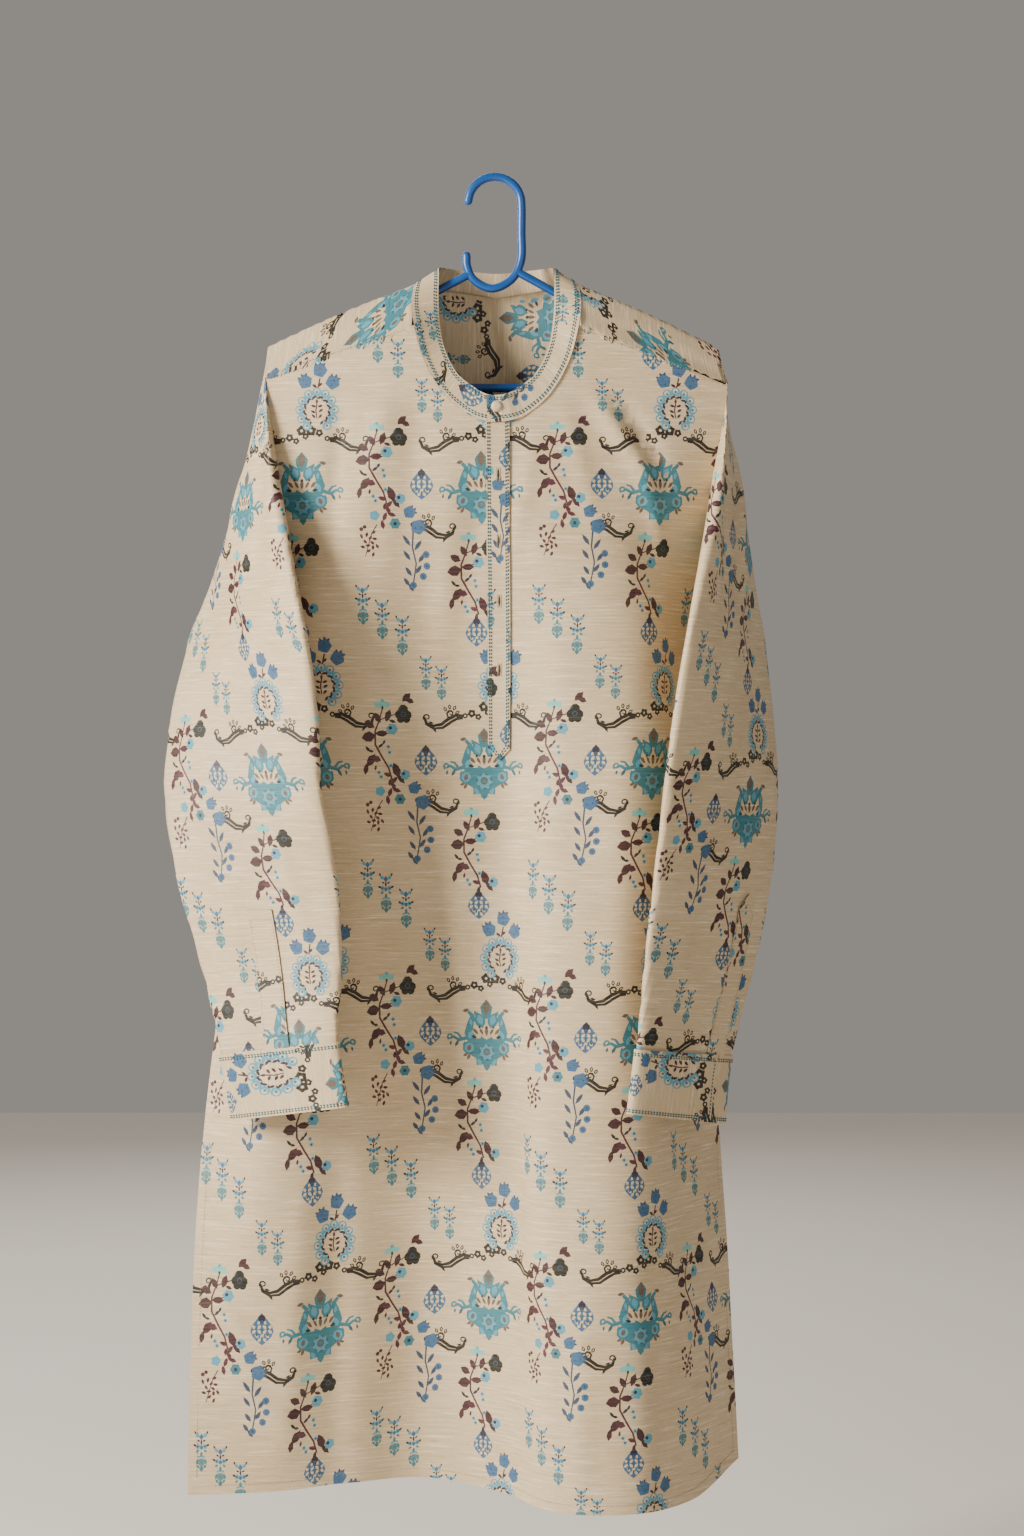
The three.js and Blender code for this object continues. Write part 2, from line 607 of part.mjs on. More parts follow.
function hangerArm(name, innerX, innerZ, endX, endZ) {
  const side = Math.sign(endX);
  const points = [
    flatPoint(innerX, innerZ),
    flatPoint(innerX + (endX - innerX) * 0.4, innerZ + (endZ - innerZ) * 0.45),
    flatPoint(innerX + (endX - innerX) * 0.8, innerZ + (endZ - innerZ) * 0.86),
    flatPoint(endX, endZ),
    flatPoint(endX + side * 5, (endZ + BAR_Z) / 2 - 2),
    flatPoint(endX - side * 6, BAR_Z + 1),
    flatPoint(endX - side * 18, BAR_Z),
  ];
  return tube(name, points, 18);
}

function hangerBar() {
  const gap = 18 + SEAM_GAP;
  return tube('hanger_bar', [flatPoint(ARM_END.leftX + gap, BAR_Z), flatPoint(ARM_END.rightX - gap, BAR_Z)], 1);
}

// The whole part
const kurta = new THREE.Group();
kurta.add(cloth('front', wall(frontGrid())));
kurta.add(cloth('back', wall(backGrid())));
kurta.add(cloth('yoke', wall(yokeGrid())));
kurta.add(cloth('neckband', wall(neckbandGrid())));
kurta.add(cloth('placket', wall(placketGrid())));
for (const [label, shoulder] of Object.entries(SHOULDERS)) {
  const rows = SLEEVE_SECTIONS[label];
  kurta.add(cloth(`sleeve_${label}`, wall(sleeveGrid(shoulder, rows), true)));
  kurta.add(cloth(`cuff_${label}`, wall(cuffGrid(shoulder, rows, CUFF_ENDS[label]))));
  kurta.add(cloth(`sleeve_placket_${label}`, wall(sleevePlacketGrid(shoulder, rows, SLEEVE_PLACKETS[label]))));
}
kurta.add(collarButton());
kurta.add(hook());
kurta.add(hangerArm('hanger_arm_left', ARM_INNER.leftX, ARM_INNER.leftZ, ARM_END.leftX, ARM_END.leftZ));
kurta.add(hangerArm('hanger_arm_right', ARM_INNER.rightX, ARM_INNER.rightZ, ARM_END.rightX, ARM_END.rightZ));
kurta.add(hangerBar());

export default kurta;
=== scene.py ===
"""Looks of a straight kurta on a hanger: cloth, print, stitching, button and plastic."""
import itertools
import math

import bpy
import numpy as np
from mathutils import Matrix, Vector
from mathutils.bvhtree import BVHTree
from mathutils.geometry import delaunay_2d_cdt


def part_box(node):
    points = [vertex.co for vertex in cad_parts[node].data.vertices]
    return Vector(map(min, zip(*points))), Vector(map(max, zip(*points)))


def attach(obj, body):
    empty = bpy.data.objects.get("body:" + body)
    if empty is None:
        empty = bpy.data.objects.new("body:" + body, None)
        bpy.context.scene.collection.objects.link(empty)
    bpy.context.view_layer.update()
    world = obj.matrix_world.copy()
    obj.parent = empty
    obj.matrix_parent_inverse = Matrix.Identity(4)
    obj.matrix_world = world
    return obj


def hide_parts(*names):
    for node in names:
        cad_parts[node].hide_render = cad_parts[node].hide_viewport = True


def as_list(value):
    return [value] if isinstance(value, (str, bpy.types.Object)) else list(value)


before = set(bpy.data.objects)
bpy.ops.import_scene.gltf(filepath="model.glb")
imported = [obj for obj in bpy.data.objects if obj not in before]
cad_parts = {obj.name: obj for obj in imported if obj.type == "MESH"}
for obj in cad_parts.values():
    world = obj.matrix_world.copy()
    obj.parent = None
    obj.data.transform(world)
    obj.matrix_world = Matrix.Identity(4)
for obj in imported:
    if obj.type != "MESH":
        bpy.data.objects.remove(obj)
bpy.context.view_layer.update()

# Sizes in millimetres. Heights run downwards as v, and t runs across the flat cloth.
MM = 0.001
CENTRE_X = 4
UNDERARM_V = 377
HEM_V = 1186
YOKE_BACK_V = 215
SLIT_TOP_V = 863
LAYER = 1.8
SIDE_ROOM = 0.3
EDGE_ROOM = 0.2
CLOTH = 0.9
PLACKET_HALF = 10.5
PLACKET_END_V = 521
PLACKET_POINT = 10
CUFF_DEPTH = 56
CUFF_GAP = 0.7
CUFF_LAP = 39
HEM_FOLD = 9
BACK_RISE = 4
SEAM_INSET = 1.2
TUBE_RADIUS = 3.8
CREASE_GAIN = 1.25
CREASE_TOP = 188
CREASE_FADE = 26
PLACES = np.linspace(-1, 1, 9)

# v, half width, then the depth at each place
FRONT_SECTIONS = np.array([
    (110, 214, -14, -20, -26, -30, -32, -30, -26, -20, -14),
    (200, 206, -20, -28, -33, -36, -38, -37, -34, -28, -18),
    (300, 200, -20, -31, -34, -33, -35, -41, -38, -24, 0),
    (377, 250, 32, -20, -27, -17, -22, -39, -32, 14, 60),
    (450, 264, 40, -13, -20, -8, -14, -37, -32, 18, 68),
    (547, 272, 40, -15, -8, 8, 0, -32, -34, 14, 70),
    (746, 281, 32, -12, 2, 20, 4, -40, -38, 18, 76),
    (863, 286, 20, -10, 7, 27, 7, -42, -43, 12, 72),
    (1000, 289, 6, -5, 12, 33, 9, -41, -45, 6, 66),
    (1186, 292, -5, 0, 18, 38, 12, -40, -47, 0, 58),
], float)
BACK_ROOM = np.array([
    (110, 36, 44, 52, 58, 60, 58, 52, 44, 36),
    (215, 42, 50, 58, 64, 66, 64, 60, 52, 42),
    (300, 34, 46, 58, 62, 62, 60, 58, 46, 28),
    (377, 0, 30, 48, 52, 52, 50, 46, 28, 0),
    (547, 0, 22, 38, 40, 46, 50, 44, 24, 0),
    (863, 0, 16, 26, 20, 40, 50, 42, 20, 0),
    (1186, 4, 16, 22, 12, 34, 48, 38, 20, 6),
], float)
HEM_RISE = (5, 7, 10, 10, 4, 0, 0, 2, 22)

# x, y, z of the neck seam, then of the neckband's free edge
NECK = np.array([
    (0, -38, -219, 0, -38, -198),
    (12, -38, -217.5, 8, -38, -197),
    (24, -38, -213, 16, -37, -193),
    (45, -36, -195, 34, -34, -179),
    (62, -33, -166, 46, -29, -156),
    (71, -29, -135, 51, -22, -132),
    (73, -19, -111, 52, -15, -106),
    (70, -7, -95, 51, -7, -85),
    (66, 6, -90, 50, 5, -78),
    (42, 24, -97, 36, 21, -76),
    (0, 31, -101, 0, 29, -78),
], float)
SEAM_ROW = 5
SHOULDERS = {
    "left": dict(side=-1, ridge=(-203, 0, -150), seam=178),
    "right": dict(side=1, ridge=(199, 0, -152), seam=188),
}

# v, fold x, fold y, outer x, outer y, thickness, tilt
SLEEVES = {
    "left": np.array([
        (400, -167, -79, -281, 80, 20, 0),
        (470, -156, -77, -294, 45, 20, 0),
        (545, -152, -72, -299, 15, 20, 0),
        (620, -139, -68, -287, -4, 18, 2),
        (700, -134, -68, -264, -6, 16, 5),
        (776, -137, -73, -243, -22, 14, 8),
        (833, -129, -74, -232, -20, 14, 9),
    ], float),
    "right": np.array([
        (400, 171, -80, 247, 88, 20, 0),
        (470, 159, -79, 254, 76, 20, 0),
        (545, 149, -78, 258, 55, 20, 0),
        (620, 140, -78, 252, 38, 18, 2),
        (700, 131, -80, 235, 22, 16, 4),
        (781, 124, -82, 211, -3, 14, 7),
        (838, 117, -84, 204, -8, 14, 9),
    ], float),
}
STRIPS = {
    "left": dict(length=122, width=25, place=0.02, point=0),
    "right": dict(length=140, width=23, place=-0.26, point=12),
}
CUFF_ENDS = {"left": 200, "right": -34}

# Soft troughs and ridges: t and v of both ends, half width, height outwards
FRONT_CREASES = (
    (84, 196, 128, 262, 9, 4.2),
    (128, 262, 150, 330, 8, 2.6),
    (104, 190, 150, 268, 8, -3.0),
    (60, 214, 84, 300, 10, 1.8),
    (-96, 190, -120, 300, 12, 2.2),
    (-70, 205, -84, 330, 12, -1.8),
    (-140, 205, -150, 330, 9, -2.0),
    (-40, 250, -52, 420, 13, 1.8),
    (-30, 540, -42, 900, 16, 2.4),
    (40, 560, 50, 1000, 17, 2.6),
    (18, 640, 22, 1100, 12, -1.8),
    (118, 470, 120, 760, 16, 1.8),
    (-110, 520, -118, 820, 15, -2.0),
    (-190, 930, -204, 1130, 14, 2.4),
    (-156, 900, -160, 1180, 15, -2.0),
    (96, 1010, 92, 1190, 14, 2.0),
    (160, 940, 176, 1170, 14, -2.2),
    (210, 1000, 216, 1180, 12, 2.2),
    (-240, 1085, -206, 1112, 7, 1.6),
    (-262, 1010, -238, 1040, 6, 1.2),
    (30, 250, 14, 330, 9, 1.4),
    (-16, 300, -28, 370, 9, -1.2),
)
BACK_CREASES = (
    (0, 230, 6, 560, 22, -3.0),
    (-60, 240, -74, 520, 16, 2.4),
    (70, 235, 88, 540, 17, 2.4),
    (-120, 250, -150, 400, 14, -2.4),
    (130, 250, 160, 410, 14, -2.4),
    (-30, 620, -20, 1100, 20, 2.4),
    (60, 660, 52, 1150, 18, -2.4),
    (140, 560, 150, 900, 16, 2.2),
    (-140, 600, -150, 1000, 17, 2.4),
    (-200, 900, -210, 1160, 14, -2.0),
    (210, 940, 214, 1160, 13, 2.0),
    (0, 1000, 10, 1180, 14, -1.6),
)
SLEEVE_CREASES = {
    "left": (
        (-40, 210, -20, 330, 10, 2.2),
        (30, 230, 44, 360, 9, -1.8),
        (10, 360, 40, 470, 12, 1.8),
        (-70, 480, -10, 545, 10, 2.0),
        (-80, 560, -20, 600, 9, -1.6),
        (30, 560, 46, 690, 10, 1.4),
        (-20, 640, -30, 760, 9, 1.2),
        (-62, 610, -58, 740, 8, -1.2),
        (120, 430, 150, 600, 12, 2.0),
        (-150, 430, -140, 640, 12, 2.0),
    ),
    "right": (
        (30, 220, 14, 350, 10, 2.2),
        (-34, 240, -40, 400, 9, -1.8),
        (-10, 400, -30, 520, 11, 1.8),
        (70, 520, 20, 590, 9, 2.0),
        (76, 600, 30, 640, 8, -1.6),
        (-30, 560, -36, 700, 9, 1.4),
        (24, 660, 20, 770, 8, 1.0),
        (-120, 430, -140, 600, 12, 2.0),
        (140, 430, 130, 640, 12, 2.0),
    ),
}


def curve(places, values, at):
    """Smooth curve through values at ascending places, slopes from the neighbours, ends held."""
    places, values = np.asarray(places, float), np.asarray(values, float)
    at = np.clip(np.asarray(at, float), places[0], places[-1])
    last = len(places) - 1
    low = np.maximum(np.arange(last + 1) - 1, 0)
    high = np.minimum(np.arange(last + 1) + 1, last)
    tail = (1,) * (values.ndim - 1)
    slopes = (values[high] - values[low]) / (places[high] - places[low]).reshape(-1, *tail)
    i = np.clip(np.searchsorted(places, at, "right") - 1, 0, last - 1)
    span = np.reshape(places[i + 1] - places[i], at.shape + tail)
    s = np.reshape(at - places[i], at.shape + tail) / span
    rise = s * s * (3 - 2 * s)
    bend = span * s * (1 - s) * ((1 - s) * slopes[i] - s * slopes[i + 1])
    return values[i] * (1 - rise) + values[i + 1] * rise + bend


def half_width(v):
    return curve(FRONT_SECTIONS[:, 0], FRONT_SECTIONS[:, 1], v)


def hem_v(share):
    return HEM_V - curve(PLACES, HEM_RISE, share)


def unit(vectors):
    return vectors / np.maximum(np.linalg.norm(vectors, axis=-1, keepdims=True), 1e-9)


def distances(points):
    """How far along a line of points each of them lies."""
    steps = np.linalg.norm(np.diff(points, axis=0), axis=-1)
    return np.concatenate([[0], np.cumsum(steps)])


def line_at(places, at, points):
    """Points at these distances along a line of points."""
    return np.stack([np.interp(at, places, column) for column in points.T], -1)


def new_piece(name, verts, faces, material):
    """A smooth object from points in metres."""
    mesh = bpy.data.meshes.new(name)
    mesh.from_pydata(verts, [], faces)
    mesh.shade_smooth()
    mesh.materials.append(material)
    piece = bpy.data.objects.new(name, mesh)
    bpy.context.scene.collection.objects.link(piece)
    return piece


class Patch:
    """A smooth surface over flat cloth: rows down v, columns at even shares of the half width.

    Its normals point along outward, or else away from the middle of each row.
    """

    def __init__(self, table, v0, dv, half, outward=None, creases=(), wave=0.0):
        self.v0, self.dv = v0, dv
        self.half = np.broadcast_to(np.asarray(half, float), table.shape[:1]).copy()
        self.table = table
        self.outward = outward
        self.make_normals()
        if creases:
            shares = np.linspace(-1, 1, table.shape[1])
            t = self.half[:, None] * shares
            v = np.broadcast_to((v0 + dv * np.arange(table.shape[0]))[:, None], t.shape)
            self.table = table + self.normals * crease_height(t, v, creases, wave)[..., None]
            self.make_normals()

    def make_normals(self):
        down, along = np.gradient(self.table, axis=0), np.gradient(self.table, axis=1)
        normals = unit(np.cross(down, along))
        outward = self.outward
        if outward is None:
            outward = self.table - self.table.mean(axis=1, keepdims=True)
        self.normals = -normals if (normals * outward).sum() < 0 else normals

    def at(self, t, v):
        """Points and outward normals at flat places."""
        t, v = np.asarray(t, float), np.asarray(v, float)
        rows, columns = self.table.shape[:2]
        r = np.clip((v - self.v0) / self.dv, 0, rows - 1.001)
        i = r.astype(int)
        fr = r - i
        half = self.half[i] * (1 - fr) + self.half[i + 1] * fr
        c = np.clip((t / half + 1) * 0.5 * (columns - 1), 0, columns - 1.001)
        j = c.astype(int)
        fc = (c - j)[..., None]
        fr = fr[..., None]

        def mixed(a):
            top = a[i, j] * (1 - fc) + a[i, j + 1] * fc
            foot = a[i + 1, j] * (1 - fc) + a[i + 1, j + 1] * fc
            return top * (1 - fr) + foot * fr

        return mixed(self.table), unit(mixed(self.normals))


def crease_height(t, v, creases, wave):
    """Height of the creases over flat places, with a faint unevenness of the hanging cloth."""
    height = wave * (
        np.sin(t / 23 + v / 131 + 1) * np.sin(v / 61 - t / 200)
        + 0.6 * np.sin(t / 11.5 - v / 97) * np.sin(v / 37 + 2)
    )
    for t0, v0, t1, v1, width, rise in creases:
        run = np.array((t1 - t0, v1 - v0), float)
        length = np.hypot(*run)
        along = ((t - t0) * run[0] + (v - v0) * run[1]) / length
        off = ((v - v0) * run[0] - (t - t0) * run[1]) / length
        past = np.maximum(np.maximum(-along, along - length), 0) / (1.8 * width)
        fade = 0.55 + 0.45 * np.sin(np.pi * np.clip(along / length, 0, 1))
        height = height + CREASE_GAIN * rise * fade * np.exp(-((off / width) ** 2) - past**2)
    return height * np.clip((v - CREASE_TOP) / CREASE_FADE, 0, 1)


# Surfaces
ROW_STEP = 4
TOP_V = 110
SHARES = np.linspace(-1, 1, 161)


def front_table():
    v = np.arange(TOP_V, HEM_V + 14, ROW_STEP, dtype=float)
    half = half_width(v)
    places = curve(FRONT_SECTIONS[:, 0], FRONT_SECTIONS[:, 2:], v)
    depth = np.stack([curve(PLACES, row, SHARES) for row in places])
    step = half[:, None] * (SHARES[1] - SHARES[0])
    rise = np.minimum(np.abs(np.diff(depth, axis=1)) / step, 0.96)
    run = np.cumsum(step * np.sqrt(1 - rise**2), axis=1)
    run = np.concatenate([np.zeros((len(v), 1)), run], axis=1)
    x = CENTRE_X * np.minimum(1, v / 400)[:, None] + run - run[:, [len(SHARES) // 2]]
    z = np.broadcast_to(-v[:, None], x.shape)
    return v, half, np.stack([x, depth, z], axis=-1)


def back_table(v, table):
    along = np.gradient(table, axis=1)
    along[..., 2] = 0
    side = unit(along)
    places = curve(BACK_ROOM[:, 0], BACK_ROOM[:, 1:], v)
    room = np.maximum(np.stack([curve(PLACES, row, SHARES) for row in places]), 0)
    back = table.copy()
    back[..., 0] -= side[..., 1] * (LAYER + SIDE_ROOM)
    back[..., 1] += side[..., 0] * (LAYER + SIDE_ROOM) + room
    return back


PANEL_V, PANEL_HALF, FRONT_BASE = front_table()
BACK_BASE = back_table(PANEL_V, FRONT_BASE)
front_base, front = (
    Patch(FRONT_BASE, TOP_V, ROW_STEP, PANEL_HALF, (0, -1, 0), *more) for more in ((), (FRONT_CREASES, 0.35)))
back_base, back = (
    Patch(BACK_BASE, TOP_V, ROW_STEP, PANEL_HALF, (0, 1, 0), *more) for more in ((), (BACK_CREASES, 0.4)))


def edge_point(patch, side, v):
    return patch.at(side * half_width(v), v)[0]


def armhole(shoulder):
    """Twenty points round the armhole: ridge, front, underarm, back."""
    side, seam = shoulder["side"], shoulder["seam"]
    ridge = np.array(shoulder["ridge"], float)
    front_yoke = edge_point(front_base, side, seam)
    back_yoke = edge_point(back_base, side, YOKE_BACK_V)
    underarm = (edge_point(front_base, side, UNDERARM_V) + edge_point(back_base, side, UNDERARM_V)) / 2
    mix = lambda a, b, s: a + (b - a) * s
    edge = lambda patch, top, i: edge_point(patch, side, mix(top, UNDERARM_V, i / 7))
    return np.array([
        ridge, mix(ridge, front_yoke, 0.36) - (0, 2, 0), mix(ridge, front_yoke, 0.7) - (0, 1, 0), front_yoke,
        *(edge(front_base, seam, i) for i in range(1, 7)),
        underarm + (side * 1.1, 0, 0),
        *(edge(back_base, YOKE_BACK_V, i) for i in range(6, 0, -1)),
        back_yoke, mix(back_yoke, ridge, 0.4), mix(back_yoke, ridge, 0.75),
    ])


def sleeve_ring(side, rows, v, angle):
    """Points round a sleeve at heights v: 0 the outer face, a quarter turn the front fold."""
    fold_x, fold_y, out_x, out_y, thick, tilt = np.moveaxis(curve(rows[:, 0], rows[:, 1:], v), -1, 0)
    fold = np.stack([fold_x, fold_y, tilt - v], -1)
    outer = np.stack([out_x, out_y, -v - tilt], -1)
    centre, long = (fold + outer) / 2, (fold - outer) / 2
    short = unit(np.stack([long[..., 1], -long[..., 0], 0 * v], -1)) * (-side * thick / 2)[..., None]
    bulge = np.cos(angle)
    fullness = (np.sign(bulge) * np.abs(bulge) ** 0.75)[..., None]
    return centre + long * np.sin(angle)[..., None] + short * fullness


SLEEVE_COLUMNS = 241


def sleeve_table(label):
    """Rows of points round the sleeve, from its back fold round the outer face, and each column's top."""
    shoulder, rows = SHOULDERS[label], SLEEVES[label]
    side, end = shoulder["side"], rows[-2, 0]
    angles = np.linspace(-np.pi, np.pi, SLEEVE_COLUMNS)
    loop = armhole(shoulder)
    around = np.concatenate([loop[10:], loop[:11]])
    start = curve(np.linspace(-np.pi, np.pi, 21), around, angles)
    first = sleeve_ring(side, rows, np.full(angles.shape, rows[0, 0]), angles)
    shares = np.arange(6) / 6
    cap = start[None] + (first - start)[None] * shares[:, None, None]
    swell = 7 * np.sin(np.pi * shares)[:, None]
    cap[..., 0] += side * np.maximum(np.cos(angles), 0) * swell
    cap[..., 1] -= np.maximum(np.sin(angles), 0) * swell
    tube_v = np.linspace(rows[0, 0], end, 14)
    ring_v, ring_a = np.meshgrid(tube_v, angles, indexing="ij")
    tube = sleeve_ring(side, rows, ring_v, ring_a)
    v = np.arange(140, end + ROW_STEP, ROW_STEP, dtype=float)
    table = np.empty((len(v), SLEEVE_COLUMNS, 3))
    tops = -start[:, 2]
    for k in range(SLEEVE_COLUMNS):
        heights = np.concatenate([tops[k] + (rows[0, 0] - tops[k]) * shares, tube_v])
        table[:, k] = curve(heights, np.concatenate([cap[:, k], tube[:, k]]), v)
    if side > 0:
        table, tops = table[:, ::-1], tops[::-1]
    return v, table, tops


def sleeve_patch(label):
    """The sleeve over flat cloth, t from the outer face's middle line and growing with x."""
    v, table, tops = sleeve_table(label)
    arcs = np.array([distances(row) for row in table])
    arcs -= arcs[:, [SLEEVE_COLUMNS // 2]]
    half = np.abs(arcs).max(axis=1)
    even = np.linspace(-1, 1, SLEEVE_COLUMNS)
    flat = np.stack([line_at(arc, even * wide, row) for arc, wide, row in zip(arcs, half, table)])
    top_rows = np.clip((tops - v[0]) / ROW_STEP, 0, len(v) - 1)
    low = np.floor(top_rows).astype(int)
    share = top_rows - low
    columns = np.arange(SLEEVE_COLUMNS)
    top_t = arcs[low, columns] * (1 - share) + arcs[np.minimum(low + 1, len(v) - 1), columns] * share
    patch = Patch(flat, v[0], ROW_STEP, half, None, SLEEVE_CREASES[label], 0.3)
    below = v[v > tops[0] + 2][:-1]
    ends = arcs[((below - v[0]) / ROW_STEP).astype(int)][:, [0, -1]] + (EDGE_ROOM, -EDGE_ROOM)
    foot_t = np.linspace(arcs[-2, -1] - EDGE_ROOM, arcs[-2, 0] + EDGE_ROOM, 60)
    foot = np.stack([foot_t, np.full(60, SLEEVES[label][-2, 0] - EDGE_ROOM)], -1)
    outline = np.concatenate([
        np.stack([top_t, tops], -1)[::4], np.stack([ends[:, 1], below], -1),
        foot, np.stack([ends[:, 0], below], -1)[::-1]])
    return patch, outline


def smooth_patch(control, columns, rows):
    """A patch from a control grid, smoothed both ways; t runs along its rows, v down its columns."""
    places = np.mean([distances(row) for row in control], axis=0)
    downs = np.mean([distances(column) for column in np.swapaxes(control, 0, 1)], axis=0)
    wide = curve(places, np.swapaxes(control, 0, 1), np.linspace(0, places[-1], columns))
    fine = curve(downs, np.swapaxes(wide, 0, 1), np.linspace(0, downs[-1], rows))
    return Patch(fine, 0, downs[-1] / (rows - 1), places[-1] / 2)


def neck_seam(side, row):
    x, y, z = NECK[row, :3]
    if row > SEAM_ROW:
        return np.array((side * x + 1, y, z))
    return front_base.at(side * x, -z)[0]


def yoke_seam_v(flat):
    shoulder = SHOULDERS["left" if flat < 0 else "right"]
    x, v = NECK[SEAM_ROW, 0], -NECK[SEAM_ROW, 2]
    return v + (abs(flat) - x) / (half_width(shoulder["seam"]) - x) * (shoulder["seam"] - v)


def yoke_control(label):
    """Columns from the front seam over the shoulder to the back, each from the neck outwards."""
    shoulder = SHOULDERS[label]
    side, loop, shares = shoulder["side"], armhole(shoulder), np.linspace(0, 1, 7)
    start = NECK[SEAM_ROW, 0]
    flats = side * (start + shares * (half_width(shoulder["seam"]) - 1.1 - start))
    seam = np.array([front_base.at(f, yoke_seam_v(f))[0] for f in flats])
    inset = lambda point: point - (side * 1.8, 0, 0)

    def neck(share):
        place = SEAM_ROW + 1 + share
        row = min(int(place), len(NECK) - 2)
        return neck_seam(side, row) + (neck_seam(side, row + 1) - neck_seam(side, row)) * (place - row)

    def ruled(inner, outer, bulge=0):
        line = inner + (outer - inner) * shares[:, None]
        line[:, 2] += bulge * np.sin(np.pi * shares)
        return line

    back_seam = lambda share: back_base.at(side * share * (half_width(YOKE_BACK_V) - 1.1), YOKE_BACK_V)[0]
    first = neck_seam(side, SEAM_ROW) + (neck(0) - neck_seam(side, SEAM_ROW)) * 0.55
    return [
        seam, ruled(first, inset(loop[2]), 1), ruled(neck(0), inset(loop[1]), 2),
        ruled(neck(1), inset(loop[0]), 3), ruled(neck(1.3), inset(loop[19]), 2),
        ruled(neck(1.6), inset(loop[18]), 1), ruled(neck(1.9), back_seam(1)),
        ruled(neck(2.2), back_seam(0.75)), ruled(neck(2.45), back_seam(0.5)),
        ruled(neck(2.7), back_seam(0.25)),
    ]


YOKE_COLUMNS = 321
YOKE_HALF = 200
YOKE_AXIS_Z = -205
YOKE_TUCK = 2.6
YOKE_LAP = (0, -0.6, -3.0)


def yoke_lines(label):
    """Fine lines of one side's yoke from the middle back to the front seam, and their stretched x."""
    middle = np.linspace(neck_seam(1, 10), back_base.at(0, YOKE_BACK_V)[0], 7)
    control = np.array(yoke_control(label) + [middle])
    count = len(control)
    at = np.linspace(count - 1, 0, 160)
    fine = curve(np.arange(count), control, at)
    fine = np.swapaxes(curve(np.arange(7), np.swapaxes(fine, 0, 1), np.linspace(0, 6, 61)), 0, 1)
    side = SHOULDERS[label]["side"]
    ends = side * control[:7, -1, 0]
    stretch = YOKE_HALF / np.interp(at, np.arange(7), ends)
    return fine, side * fine[..., 0] * stretch[:, None]


def yoke_tree():
    """The yoke's surface as faces, its outer edges drawn out to an even half width."""
    verts, faces, edges = [], [], {}
    for label in SHOULDERS:
        fine, far = yoke_lines(label)
        rim = fine[np.abs(far[:, -1]) > YOKE_HALF - 0.01, -1][::-1]
        turn = np.degrees(np.arctan2(rim[:, 1], rim[:, 2] - YOKE_AXIS_Z))
        edges[label] = (turn, (np.abs(rim[:, 0]) + YOKE_TUCK) / YOKE_HALF)
        fine[..., 0] = SHOULDERS[label]["side"] * far
        first, wide = len(verts), fine.shape[1]
        verts += [Vector(p) for p in fine.reshape(-1, 3)]
        for i in range(len(fine) - 1):
            for a in range(first + i * wide, first + (i + 1) * wide - 1):
                faces.append((a, a + 1, a + wide + 1, a + wide))
    return BVHTree.FromPolygons(verts, faces), edges


def yoke_section(tree, x):
    """The path over the shoulder at one x, from the back seam upwards, turning about a line inside."""
    origin = Vector((x, 0, YOKE_AXIS_Z))
    hit = lambda degrees: tree.ray_cast(
        origin, Vector((0, math.sin(math.radians(degrees)), math.cos(math.radians(degrees)))))[0]

    def border(missing, meeting):
        for _ in range(8):
            middle = (missing + meeting) / 2
            missing, meeting = (missing, middle) if hit(middle) else (middle, meeting)
        return hit(meeting)

    path = []
    for degrees in range(130, -110, -1):
        place = hit(degrees)
        if place and not path:
            path.append(border(degrees + 1, degrees))
        if place:
            path.append(place)
        elif path:
            path.append(border(degrees, degrees + 1))
            break
    if path[-1].z < -133 and path[-1].y < -14:
        path += [path[-1] + Vector(YOKE_LAP) * share for share in (0.5, 1)]
    return np.array([tuple(p) for p in path])


def yoke_patch(rows=90):
    """The yoke over flat cloth: t is x, and v grows from the front seams down the back."""
    xs = np.linspace(-YOKE_HALF, YOKE_HALF, YOKE_COLUMNS)
    tree, edges = yoke_tree()
    paths = []
    for x in xs:
        path = yoke_section(tree, np.clip(x, 0.1 - YOKE_HALF, YOKE_HALF - 0.1))
        turn = np.degrees(np.arctan2(path[:, 1], path[:, 2] - YOKE_AXIS_Z))
        path[:, 0] *= np.interp(turn, *edges["left" if x < 0 else "right"])
        paths.append(path)
    lengths = [distances(path) for path in paths]
    tops = np.array([length[-1] for length in lengths])
    longest = tops.max()
    levels = np.linspace(0, longest, rows)
    table = np.stack([line_at(length, levels, path) for length, path in zip(lengths, paths)], 1)
    middle = len(xs) // 2
    for order, step in ((range(1, middle), -1), (range(len(xs) - 2, middle, -1), 1)):
        for c in order:
            past = levels > tops[c]
            table[past, c] = table[past, c + step] - (step * (xs[1] - xs[0]), 0, 0)
    patch = Patch(table[::-1].copy(), 0, longest / (rows - 1), YOKE_HALF, (0, 0, 1))
    top = np.stack([xs, longest - tops], -1)
    outline = np.concatenate([top, [(YOKE_HALF, longest), (-YOKE_HALF, longest)]])
    return patch, outline, longest


# The print: plain flower, leaf and scroll drawings in flat cloth, x right and y down
COLOURS = {
    "teal": 0x2A6F7D, "deep": 0x1D5260, "blue": 0x2F5B80, "slate": 0x2A3E58, "aqua": 0x4A90A6,
    "mint": 0x6FB3AC, "wine": 0x34101F, "mauve": 0x471A2E, "rose": 0x051210, "char": 0x0D0D10,
    "taupe": 0x5C4F45, "indigo": 0x171B36, "grey": 0x54787A,
}
LEAF_WIDE = 1.3
LEAF_LONG = 1.1
STROKE_WIDE = 1.45
REPEAT_T, REPEAT_V = 160, 245
PRINT_ROOM = 30


def turned(points, angle, centre):
    points = np.asarray(points, float)
    c, s = math.cos(angle), math.sin(angle)
    return points @ np.array(((c, s), (-s, c))) + centre


